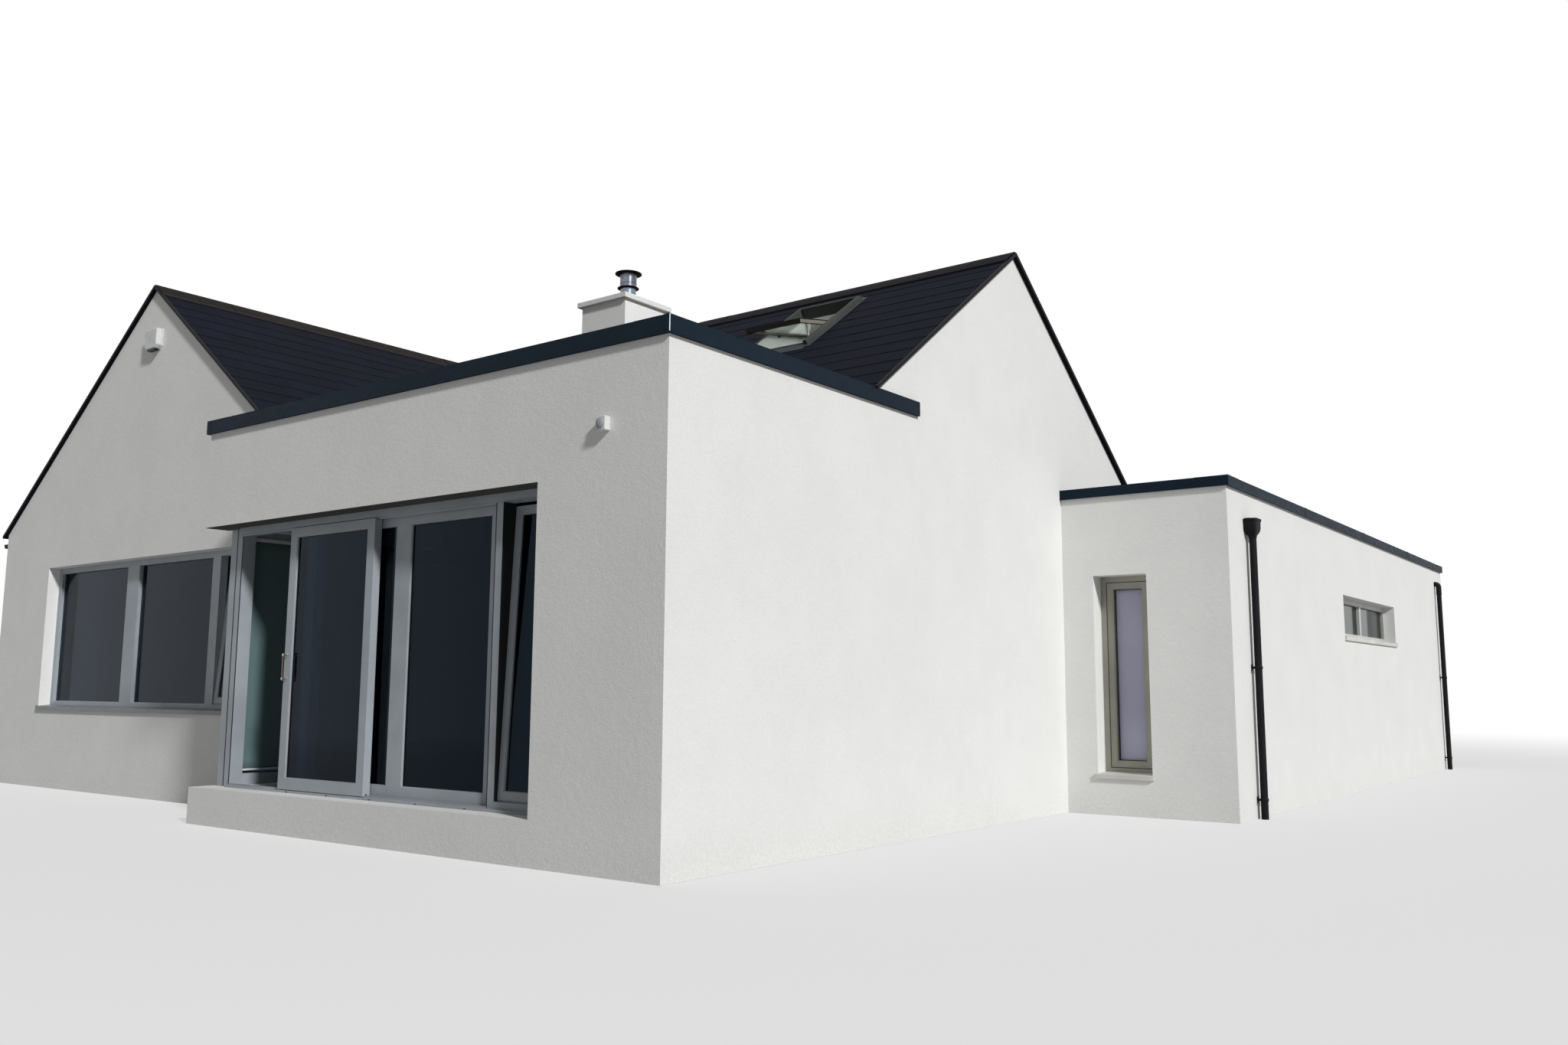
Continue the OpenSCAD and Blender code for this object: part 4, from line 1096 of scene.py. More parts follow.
    def build_ridges(self) -> None:
        """Sets ridge tiles end to end over each apex, with mortar below their joints."""
        wing, main, gap = self.wing_slope(1), self.main_slope(1), STACK_HALF + self.chimney_gap
        plans = [
            ("wing_ridge", RIDGE_BROWN, WING_PITCH, wing, RIGHT,
             [(WING_Y0 - VERGE_OUT, WING_Y1 + VERGE_OUT)]),
            ("main_ridge", RIDGE_DARK, MAIN_PITCH, main, BACK,
             [(self.ridge_end, STACK[0] - gap), (STACK[0] + gap, VERGE_OUT)]),
        ]
        bed = Shell("ridge_mortar")
        for node, finish, pitch, slope, across, runs in plans:
            shell, axes, joint = Shell(node + "_tiles"), (across, UP), self.tile_joint
            section = self.ridge_section(pitch, 0.250, 0.018, 0.009)
            under = self.ridge_section(pitch, 0.240, 0.014, 0.008)
            for start, end in runs:
                number = round((end - start) / self.tile)
                length = (end - start) / number
                for i, tone in enumerate(self.rng.uniform(0.1, 0.9, number)):
                    a, lift = start + i * length, UP * self.rng.uniform(-0.001, 0.001)
                    shell.prism(section, slope.at(a + joint, 0, 0) + lift,
                                slope.at(a + length - 2 * joint, 0, 0) + lift, axes, tone)
                bed.prism(under, slope.at(start + 2 * joint, 0, 0),
                          slope.at(end - 2 * joint, 0, 0), axes)
            shell.build(finish, "ridge_clay", replaces=(node,), bevel=0.003)
        bed.build(MORTAR, "ridge_clay")

    def build_verges(self) -> None:
        """Laps a folded strip over the slates' cut ends along each verge."""
        shell = Shell("verge_caps")
        out, top, under, foot, inner = 0.0495, 0.0095, 0.0065, -0.018, 0.028
        section = [(out, foot), (out, top), (inner, top), (inner, under),
                   (out - 0.004, under), (out - 0.004, foot)]
        left, right = self.wing_slope(-1), self.wing_slope(1)
        full = left.length + 0.004
        plans = ((self.main_slope(-1), 0, 1, self.main_stops[0]),
                 (self.main_slope(1), 0, 1, self.main_stops[1]),
                 (left, WING_Y0, -1, full), (left, WING_Y1, 1, full),
                 (right, WING_Y0, -1, self.wing_stops[0]), (right, WING_Y1, 1, self.wing_stops[1]))
        for slope, edge, way, stop in plans:
            axes = (way * np.array(slope.along), slope.out)
            shell.prism(section, slope.at(edge, 0, 0), slope.at(edge, stop, 0), axes)
        shell.build(TRIM, "black_trim", bevel=0.0015)


# Windows and the glazed screen


@dataclass
class Joinery:
    """Collects frames, gaskets and panes that share a finish."""

    name: str
    finish: Finish
    glass: Finish
    body: str = "house"
    members: Shell = field(init=False)
    gaskets: Shell = field(init=False)
    panes: Shell = field(init=False)

    def __post_init__(self) -> None:
        """Starts its three shells."""
        self.members = Shell(self.name + "_members")
        self.gaskets = Shell(self.name + "_gaskets")
        self.panes = Shell(self.name + "_panes")

    def build(self, frames: Sequence[str] = (), panes: Sequence[str] = ()) -> None:
        """Makes an object of each shell that holds something.

        Args:
            frames: construction nodes that the members stand for.
            panes: construction nodes that the panes stand for.
        """
        plans = ((self.members, self.finish, "frame_grey", frames, 0.0015),
                 (self.gaskets, GASKET, "frame_grey", (), 0.0),
                 (self.panes, self.glass, "glass", panes, 0.0))
        for shell, finish, slot, nodes, bevel in plans:
            if shell.count:
                shell.build(finish, slot, self.body, nodes, bevel=bevel)


@dataclass(frozen=True)
class Glazed(Opening):
    """A glazed leaf: its members' widths and depth, and the pane between its faces."""

    member: Sides
    depth: float = 0.066
    pane: Pair = (0.019, 0.047)

    def trim(self, joinery: Joinery) -> None:
        """Adds a bead and a gasket on both faces, round the pane.

        Args:
            joinery: takes the parts.
        """
        for face, way, glass in ((0.0, 1, self.pane[0]), (self.depth, -1, self.pane[1])):
            foot, rest = glass - way * 0.0005, glass - way * 0.0003
            bead = ((1, -0.001, face + way * 0.0025), (1, 0.007, face + way * 0.0045),
                    (1, 0.007, foot), (1, -0.001, foot))
            seal = ((1, 0.006, glass - way * 0.005), (1, 0.012, glass - way * 0.002),
                    (1, 0.012, rest), (1, 0.006, rest))
            for shell, section in ((joinery.members, bead), (joinery.gaskets, seal)):
                self.surround(shell, self.member, section)


class Light(Enum):
    """How one light of a window is filled."""

    FIXED = "a pane glazed straight into the frame"
    SASH = "a closed sash"
    TILTED = "a sash tilted back on a hinge block"


@dataclass(frozen=True)
class Window(Opening):
    """A framed window: its outer frame and its lights from left to right."""

    lights: tuple[tuple[float, float, Light], ...]
    frame: float = 0.055
    sash: float = 0.060
    sash_depth: float = 0.072
    depth: float = 0.080
    pane: Pair = (0.045, 0.073)
    lap: float = 0.004
    gap: float = 0.005
    set_back: float = 0.006
    tilt: float = 4.0
    tilt_gap: float = 0.010

    def fill(self, joinery: Joinery) -> None:
        """Adds the outer frame, the mullions and each light.

        Args:
            joinery: takes the parts.
        """
        outer = ((0, 0, 0), (1, 0, 0), (1, 0, self.depth), (0, 0, self.depth))
        self.surround(joinery.members, (self.frame,) * 4, outer)
        inside = (self.frame - 0.002, self.height - self.frame + 0.002)
        for i, (left, right, light) in enumerate(self.lights):
            if i and left > self.lights[i - 1][1]:
                self.plane.slab(joinery.members, (self.lights[i - 1][1], left), inside,
                                (0, self.depth))
            if light is Light.FIXED:
                self.glaze(joinery, left, right)
            else:
                self.add_sash(joinery, left, right, light is Light.TILTED)

    def glaze(self, joinery: Joinery, left: float, right: float) -> None:
        """Adds a pane with its beads, glazed straight into the frame.

        Args:
            joinery: takes the parts.
            left: the light's left edge from the window's.
            right: its right edge.
        """
        member = (left, self.width - right, self.frame, self.frame)
        leaf = Glazed(self.plane, self.width, self.height, member, self.depth, self.pane)
        leaf.trim(joinery)
        edge = self.frame - self.lap
        self.plane.slab(joinery.panes, (left - self.lap, right + self.lap),
                        (edge, self.height - edge), self.pane)

    def add_sash(self, joinery: Joinery, left: float, right: float, tilted: bool) -> None:
        """Adds one sash with its seals and its pane.

        Args:
            joinery: takes the parts.
            left: the light's left edge from the window's.
            right: its right edge.
            tilted: stands it on a hinge block and leans its top inward.
        """
        gap, rise, rim = self.gap, self.tilt_gap if tilted else self.gap, (self.sash,) * 4
        plane = self.plane.moved(left + gap, self.frame + rise, self.set_back)
        w, h = right - left - 2 * gap, self.height - 2 * self.frame - 2 * rise
        if tilted:
            plane = plane.moved(0, 0, 0.001).leaning(self.tilt)
            leaf = Glazed(plane, w, h - self.tilt_gap, rim)
            block = (self.frame, self.frame + self.tilt_gap - 0.0002)
            self.plane.slab(joinery.members, (left, right), block, (0.0136, 0.0466))
        else:
            pane = (self.pane[0] - self.set_back, self.pane[1] - self.set_back)
            leaf = Glazed(plane, w, h, rim, self.sash_depth, pane)
            stop = ((0, -gap, 0.016), (0, 0.001, 0.016), (0, 0.001, 0.030), (0, -gap, 0.030))
            leaf.surround(joinery.gaskets, rim, stop)
        section = ((0, 0, 0.003), (0, 0.003, 0), (1, -0.004, 0), (1, 0, 0.005),
                   (1, 0, leaf.depth), (0, 0, leaf.depth))
        leaf.surround(joinery.members, rim, section)
        leaf.trim(joinery)
        leaf.sheet(joinery.panes, self.sash - self.lap, leaf.pane)


@dataclass(frozen=True)
class Windows:
    """All framed windows with their folded sills."""

    wide_frame: float = 0.060
    sill_depth: float = 0.130
    deep_sill: float = 0.190

    def openings(self) -> dict[str, Window]:
        """The windows as they stand in the walls.

        Returns:
            Each window by name, seen from outside.
        """
        fixed, sash = Light.FIXED, Light.SASH
        wide = ((0.060, 1.728, fixed), (1.991, 3.575, fixed), (3.730, 4.940, Light.TILTED))
        middle = ((0.055, 1.200, sash), (1.200, 2.345, sash))
        slot = ((0.060, 1.390, fixed), (1.450, 2.780, fixed))
        back = {"along": (-1, 0, 0), "inward": (0, -1, 0)}
        right = Plane((1.535, 10.215, 1.525), (0, 1, 0), inward=(-1, 0, 0))
        left = Plane((-5.190, 13.055, 1.525), (0, -1, 0), inward=(1, 0, 0))
        rim = {"frame": self.wide_frame}
        return {
            "wide": Window(Plane((-11.015, 1.080, 0.630)), 5.000, 1.670, wide, **rim),
            "wing_rear": Window(Plane((-7.590, 8.790, 0.630), **back), 2.400, 1.670, middle),
            "ext_back": Window(Plane((-0.6275, 16.630, 0.900), **back), 2.400, 1.130, middle),
            "tall": Window(Plane((0.320, 6.120, 0.070)), 0.545, 1.935, ((0.055, 0.490, sash),)),
            "right_slot": Window(right, 2.840, 0.505, slot, **rim),
            "left_slot": Window(left, 2.840, 0.505, slot, **rim),
        }

    def build(self) -> None:
        """Builds the windows by finish, and the sills."""
        openings = self.openings()
        pale_sills = ("tall", "right_slot", "left_slot")
        plans = (
            ("wide_window", FRAME, DARK_GLASS, ("wide",), ("wide_window_frame",),
             ("window_glass",)),
            ("tall_window", FRAME_WARM, LILAC_GLASS, ("tall",), (), ()),
            ("other_windows", FRAME, DARK_GLASS, ("wing_rear", "ext_back"), ("window_frames",),
             ()),
            ("slot_windows", FRAME_PALE, GREY_GLASS, ("right_slot", "left_slot"), (), ()),
        )
        for name, finish, glass, held, frames, panes in plans:
            joinery = Joinery(name, finish, glass)
            for opening in held:
                openings[opening].fill(joinery)
            joinery.build(frames, panes)
        grey, pale = Shell("folded_sills"), Shell("pale_sills")
        for name, window in openings.items():
            depth = self.deep_sill if name == "tall" else self.sill_depth
            self.add_sill(pale if name in pale_sills else grey, window, depth)
        grey.build(SILL, "sill", replaces=("window_sills",), bevel=0.002)
        pale.build(SILL_PALE, "sill", bevel=0.002)

    @staticmethod
    def add_sill(shell: Shell, window: Window, depth: float) -> None:
        """Adds a sill: a sheet that falls over the reveal, and a nose with turned-up ends.

        Args:
            shell: takes the sill.
            window: the window that it lies under.
            depth: from the window's face to the wall's.
        """
        sheet = np.array([(-0.004, 0.018), (-depth, 0.007), (-depth - 0.023, 0.003),
                          (-depth - 0.023, -0.004), (-depth, 0.0005), (-0.004, 0.0005)])
        plane, past, end, front = window.plane, 0.0165, 0.003, -depth - 0.025
        shell.carry(np.stack([plane.at(u, sheet[:, 1], sheet[:, 0])
                              for u in (0.001, window.width - 0.001)]))
        plane.slab(shell, (-past, window.width + past), (-0.040, 0.0025), (front, -depth - 0.0005))
        for u in (-past, window.width + past - end):
            plane.slab(shell, (u, u + end), (-0.002, 0.010), (front, -depth - 0.001))


@dataclass(frozen=True)
class RoofWindow:
    """The roof window standing open on its middle pivots: cladding, lining, sash and glass."""

    centre: Point = (-1.890, 4.080, 4.48832)
    size: Pair = (0.780, 1.180)
    member: float = 0.045
    clear: float = 0.012
    thick: float = 0.045
    opened: float = 25.0
    lining: float = 0.005
    deep: float = 0.430
    apron: float = 0.115
    side: float = 0.052

    @property
    def plane(self) -> Plane:
        """The slope under the window.

        Returns:
            The plane seen from outside, from the window's lower left corner.
        """
        c, s = math.cos(MAIN_PITCH), math.sin(MAIN_PITCH)
        level = Plane(self.centre, up=(0, c, s), inward=(0, s, -c))
        return level.moved(-self.size[0] / 2, -self.size[1] / 2)

    def build(self) -> None:
        """Builds the fixed frame with its lining and flashings, then the turned sash."""
        self.build_kerb()
        self.build_lining()
        self.build_flashing()
        self.build_sash()

    def build_kerb(self) -> None:
        """Folds the cladding round three sides, with a low sill at the foot."""
        (w, h), m, face = self.size, self.member, self.plane
        kerb = Shell("roof_window_cladding")
        fold = ((0, 0, 0.075), (0, 0, -0.036), (0.13, 0, -0.047), (0.27, 0, -0.052),
                (0.73, 0, -0.054), (1, 0, -0.048), (1, 0, -0.0462), (0.885, 0, -0.0462),
                (0.885, 0, 0.075))
        kerb.carry(Opening(face, w, h).border((m, m, 0.0, m), fold)[[1, 2, 3, 0]])
        face.slab(kerb, (m, w - m), (0.0, 0.0395), (-0.012, 0.075))
        kerb.build(KERB_CLAD, "capping_metal", replaces=("roof_window_frame",), bevel=0.002)

    def build_lining(self) -> None:
        """Boards the opening down to the room, clear of the sash's swing."""
        (w, h), m, face = self.size, self.member, self.plane
        t, deep = self.lining, self.deep
        boards = Shell("roof_window_lining")
        face.slab(boards, (m - t, m), (m, 0.5 * h), (-0.0455, deep))
        face.slab(boards, (w - m, w - m + t), (m, h - m), (-0.0455, deep))
        face.slab(boards, (m - t, m), (0.5 * h + 0.0002, h - m), (0.050, deep))
        for v, top in ((m - t, -0.010), (h - m, 0.0755)):
            face.slab(boards, (m - t, w - m + t), (v, v + t), (top, deep))
        boards.build(LINING, "roof_window_wood")

    def build_flashing(self) -> None:
        """Lays lead on the slates at both sides, the foot and the head."""
        (w, h), face = self.size, self.plane
        lead, edge = Shell("roof_window_flashing"), 0.0005
        for low, high in ((-self.side, 0.0), (w, w + self.side)):
            face.slab(lead, (low, high), (-0.05, h + 0.03), (-0.0105, -0.0075))
        for low, high in ((-self.apron, -edge), (h + edge, h + 0.055)):
            face.slab(lead, (edge, w - edge), (low, high), (-0.0110, -0.0080))
        lead.build(LEAD, "capping_metal", bevel=0.001)

    def build_sash(self) -> None:
        """Builds the sash, its cladding, its pivots and its pane."""
        m, t, rim = self.member, self.thick, (self.member,) * 4
        w, h = (side - 2 * (m + self.clear) for side in self.size)
        hinge = self.plane.moved(self.size[0] / 2, self.size[1] / 2).leaning(self.opened)
        leaf = Opening(hinge.moved(-w / 2, -h / 2, -t / 2), w, h)
        sash, outer = Shell("roof_window_leaf"), Shell("roof_window_caps")
        pane = Shell("roof_window_pane")
        section = ((0, 0.001, 0.002), (1, -0.004, 0.002), (1, 0, 0.008), (1, 0, t - 0.008),
                   (1, -0.006, t), (0, 0.003, t), (0, 0.001, t - 0.003))
        leaf.surround(sash, rim, section)
        for side in (-1, 1):
            near, far = w / 2 - 0.002, w / 2 + self.clear
            pin = np.array([(0.0085, near), (0.0085, far - 0.002), (0.0110, far - 0.002),
                            (0.0110, far)])
            sash.carry(lathe(pin * (1, side), self.centre, axis=0, sides=24))
        sash.build(DARK_WOOD, "roof_window_wood", replaces=("roof_window_sash",), bevel=0.0015)
        cap = ((0, 0, 0), (1, 0.003, 0), (1, 0.003, 0.0085), (1, 0.001, 0.0085),
               (1, 0.001, 0.0018), (0, 0.0008, 0.0018), (0, 0.0008, 0.010), (0, 0, 0.010))
        leaf.surround(outer, rim, cap)
        leaf.plane.slab(outer, (0.0, w), (-0.0015, 0.0008), (0.0102, t - 0.002))
        foot = (-0.0015, m - 0.006)
        leaf.plane.slab(outer, (0.001, w - 0.001), foot, (t + 0.0002, t + 0.0015))
        outer.build(SASH_CLAD, "roof_window_wood")
        leaf.sheet(pane, m - 0.003, (0.0085, 0.0365))
        pane.build(ROOF_GLASS, "glass", replaces=("roof_window_glass",))


@dataclass(frozen=True)
class Screen:
    """The glazed screen's beads, seals, dark soffit board and handles; the board's darkness is
    partly painted shade under the header.
    """

    stile: Sides = (0.095, 0.095, 0.092, 0.075)
    leaf: Plane = Plane((-4.529, 0.186, 0.026))
    head: float = 2.296
    seal_y: Pair = (0.2185, 0.2205)
    gaps: tuple[Pair, ...] = (
        (-5.452, -5.440), (-5.364, -5.350), (-1.897, -1.889), (-1.262, -1.254),
    )
    handle_x: float = -4.4815
    handle_z: float = 1.045
    handle_off: float = 0.042
    leaf_depth: float = 0.066

    def build(self) -> None:
        """Builds the fixed screen's trim, then the sliding leaf's."""
        fixed = Joinery("screen_trim", FRAME, DARK_GLASS)
        for x in (-4.215, -3.055):
            Glazed(Plane((x, 0.263, 0.020)), 1.160, 2.220, self.stile).trim(fixed)
        tilt = Plane((-1.815, 0.250, 0.080)).leaning(2.5)
        Glazed(tilt, 0.540, 2.140, (0.060,) * 4).trim(fixed)
        side = Plane((-5.550, 0.950, 0.0), (0, -1, 0), inward=(1, 0, 0))
        members = (0.060, 0.060, 0.095, 0.095)
        Glazed(side, 0.610, 2.300, members, 0.070, (0.021, 0.049)).trim(fixed)
        self.add_seals(fixed.gaskets)
        fixed.build()
        # A black strip over the mullion's side beside the tilted sash: partly its gasket, mostly
        # painted shade in the rebate.
        dark = Shell("screen_tilt_gasket_and_shade")
        dark.box((-1.8199, 0.2225, 0.072), (-1.8184, 0.354, 2.238))
        dark.build(GASKET, "frame_grey")
        # The dark soffit board paints part of the shade under the header.
        soffit = Shell("screen_soffit_and_shade")
        soffit.box((-5.616, 0.003, self.head + 0.0002), (-1.2105, 0.2175, self.head + 0.0038))
        soffit.build(SHADED_SOFFIT, "frame_grey")
        moving = Joinery("leaf_trim", FRAME, DARK_GLASS, body="leaf")
        Glazed(self.leaf, 1.195, 2.208, self.stile).trim(moving)
        moving.build()
        self.build_handles()

    def add_seals(self, shell: Shell) -> None:
        """Adds the post's shadow gap, the jamb seals and the drain slots.

        Args:
            shell: takes them.
        """
        near, far = self.seal_y
        for left, right in self.gaps:
            shell.box((left, near, 0.004), (right, far, self.head))
        for left in np.linspace(-4.4, -2.1, 5):
            shell.box((left, 0.1785, 0.006), (left + 0.028, 0.1805, 0.011))

    def build_handles(self) -> None:
        """Builds a bar with two posts on each face of the sliding leaf."""
        posts, bars = Shell("handle_posts"), Shell("handle_bars")
        x, middle, off = self.handle_x, self.handle_z, self.handle_off
        post = np.array([(0.016, 0.0), (0.016, 0.004), (0.009, 0.007), (0.009, off - 0.010),
                         (0.0115, off - 0.008), (0.0115, off + 0.006), (0.006, off + 0.009)])
        rise = np.array((-0.118, -0.114, -0.06, 0.0, 0.06, 0.114, 0.118))
        grip = np.array((0.005, 0.0085, 0.0080, 0.0085, 0.0080, 0.0085, 0.005))
        front = self.leaf.corner[1]
        for face, way in ((front, -1), (front + self.leaf_depth, 1)):
            for z in (-0.100, 0.100):
                posts.carry(lathe(post * (1, way), (x, face, middle + z), axis=1, sides=24))
            path = np.array((x, face + way * off, middle)) + rise[:, None] * UP
            bars.carry(tube(path, grip, BACK, 20))
        posts.build(HANDLE, "handle_metal", "leaf", replaces=("leaf_handles",), smooth=30)
        bars.build(BRONZE, "handle_metal", "leaf", smooth=40)


# Blinds and curtains


@dataclass(frozen=True)
class Blinds:
    """The cloths that show behind the glass."""

    rows: int = 24
    thick: float = 0.0012
    curtain: Pair = (0.620, 1.760)
    folds: float = 7.0
    wave: float = 0.034

    def sheet(self, name: str, grid: Array, size: Pair, finish: Finish, held: str,
              rests: Sequence[str]) -> None:
        """Makes a cloth from a grid of points and gives it its weave's measures.

        Args:
            name: the piece's name.
            grid: (rows, columns, 3), rows from the bottom.
            size: the cloth's cut width and length.
            finish: its cloth.
            held: how it hangs; not used.
            rests: what it hangs from; not used.
        """
        rows, columns = grid.shape[:2]
        index = np.arange(rows * columns).reshape(rows, columns)
        faces = np.stack([index[:-1, :-1], index[:-1, 1:], index[1:, 1:], index[1:, :-1]], -1)
        mesh = bpy.data.meshes.new(name)
        mesh.from_pydata((grid.reshape(-1, 3) + SHIFT).tolist(), [],
                         faces.reshape(-1, 4).tolist())
        across, upward = (np.linspace(0, side, n) for side, n in zip(size, (columns, rows)))
        uv = np.stack(np.meshgrid(across, upward), -1).reshape(-1, 2)
        loops = np.zeros(len(mesh.loops), np.int32)
        mesh.loops.foreach_get("vertex_index", loops)
        layer = mesh.uv_layers.new(name="weave")
        layer.data.foreach_set("uv", uv[loops].astype(np.float32).ravel())
        mesh.polygons.foreach_set("use_smooth", np.ones(len(mesh.polygons), bool))
        cloth = linked(name, mesh)
        sheet = cloth.modifiers.new("cloth", "SOLIDIFY")
        sheet.thickness, sheet.offset = self.thick, 0.0
        mesh.materials.append(finish.material())
        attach(cloth, "house")
        log.info("%s: %d points", name, rows * columns)

    def hung(self, plane: Plane, size: Pair, wave: float = 0.0, folds: float = 1.0) -> Array:
        """A hanging grid whose depth is wave times the sine of its folds across the width.

        Args:
            plane: where it hangs, from its lower left corner.
            size: hung width and height.
            wave: depth of the folds, none for a flat sheet.
            folds: how many folds there are across it.

        Returns:
            (rows, columns, 3), rows from the bottom.
        """
        columns = int(folds * 16) if wave else 40
        u, v = np.meshgrid(np.linspace(0, size[0], columns), np.linspace(0, size[1], self.rows))
        turn = u / size[0] * folds * 2 * np.pi
        depth = wave * np.sin(turn) * (1 - 0.25 * v / size[1])
        return plane.at(u + 0.25 * wave * np.sin(2 * turn + 1.0), v, depth)

    def build(self) -> None:
        """Hangs the two roller blinds with their bars, and the curtain, whose pale cloth paints the
        sunlit inner reveal behind the glass.
        """
        side = Plane((-5.458, 0.935, 0.135), (0, -1, 0), inward=(1, 0, 0))
        rollers = (("return_blind", side, (0.575, 2.070), BLIND_TEAL),
                   ("tall_blind", Plane((0.345, 6.205, 0.150)), (0.495, 1.810), BLIND_LILAC))
        for name, plane, size, finish in rollers:
            self.sheet(name, self.hung(plane, size), size, finish, "hung", [name + "_bars"])
        for name, plane, size, _ in rollers:
            bars = Shell(name + "_bars")
            for v, radius in ((0.0, 0.009), (size[1] + 0.018, 0.019)):
                ends = plane.at(np.array([-0.004, size[0] + 0.004]), v, 0.0)
                bars.carry(tube(ends, radius, plane.inward, 20))
            bars.build(WHITE_PLASTIC, "white_plastic", smooth=30)
        # The pale curtain at the window's left end paints the bright strip of sunlit reveal behind
        # the glass.
        grid = self.hung(Plane((-10.960, 1.330, 0.560)), self.curtain, self.wave, self.folds)
        cut = float(np.linalg.norm(np.diff(grid[self.rows // 2], axis=0), axis=1).sum())
        self.sheet("wing_curtain_painted_light", grid, (cut, self.curtain[1]), CURTAIN_PAINTED_LIGHT, "gathered",
                   ["curtain_rail"])
        rail = Shell("curtain_rail")
        ends = np.array([(-11.020, 1.330, 2.332), (-6.060, 1.330, 2.332)])
        rail.carry(tube(ends, 0.012, BACK, 16))
        rail.build(WHITE_PLASTIC, "white_plastic", smooth=30)


# Cappings and chimney


def mitred_run(points: Sequence[Pair], outward: Sequence[Pair], level: float,
               section: Sequence[Pair]) -> Array:
    """Rings for Shell.carry: a section carried along a run of edges with mitred corners.

    Each corner moves out by the section's first measure along the sum of its two edges'
    outward directions, and up by the second.

    Args:
        points: corners of the run in plan.
        outward: outward direction of each edge.
        level: height of the section's origin.
        section: (points, 2), outward and up.

    Returns:
        (corners, section points, 3).
    """
    ways, measures = np.asarray(outward, float), np.asarray(section, float)
    mitre = np.concatenate([ways[:1], ways[:-1] + ways[1:], ways[-1:]])
    plan = np.asarray(points, float)[:, None] + measures[None, :, :1] * mitre[:, None]
    height = np.broadcast_to(level + measures[None, :, 1:], plan.shape[:2] + (1,))
    return np.concatenate([plan, height], -1)


@dataclass(frozen=True)
class Parapet:
    """One capping in plan: its corners, outward directions, top level and height of face."""

    corners: tuple[Pair, ...]
    ways: tuple[Pair, ...]
    top: float
    face: float

    def strap(self, shell: Shell, at: Array, along: Array, out: Array, half: float) -> None:
        """Adds one strap: a thin leg on the face, but not at the back, and one on the top.

        Args:
            shell: takes the strap.
            at: its middle on the capping's outer edge, in plan.
            along: the edge's direction.
            out: the outward direction.
            half: half its width.
        """
        proud, foot = 0.0016, self.top - self.face + 0.016
        # Where the main roof meets the box, only a narrow strip of the capping's top is free
        inner = 0.032 if 2.3 < at[1] < 5 and out[0] > 0 else 0.330
        legs = (((-0.002, proud), (foot, self.top + proud)),
                ((-inner + 0.004, 0.0), (self.top - 0.002, self.top + proud)))
        for (near, far), (low, high) in legs[1 if out[1] > 0 else 0:]:
            pick = [(-half, near), (half, near), (half, far), (-half, far)]
            plan = np.array([at + along * u + out * d for u, d in pick])
            ring = [np.column_stack([plan, np.full(4, z)]) for z in (low, high)]
            shell.blocks(np.concatenate(ring)[None])

    def add_straps(self, shell: Shell, sheet: float = 2.6, half: float = 0.045,
                   corner: float = 0.032) -> None:
        """Adds a strap over each joint between sheets and at both sides of each corner.

        Args:
            shell: takes the straps.
            sheet: length of a sheet, which an edge is shared out by.
            half: half a joint strap's width.
            corner: half a corner strap's width, and its place from the corner.
        """
        last = len(self.ways) - 1
        for i, way in enumerate(self.ways):
            a, b = np.array(self.corners[i]), np.array(self.corners[i + 1])
            length = float(np.linalg.norm(b - a))
            joints = max(round(length / sheet), 1)
            marks = [(k / joints * length, half) for k in range(1, joints)]
            marks += [(corner, corner)] if i else []
            marks += [(length - corner, corner)] if i < last else []
            along = (b - a) / length
            for middle, wide in marks:
                self.strap(shell, a + along * middle, along, np.array(way, float), wide)


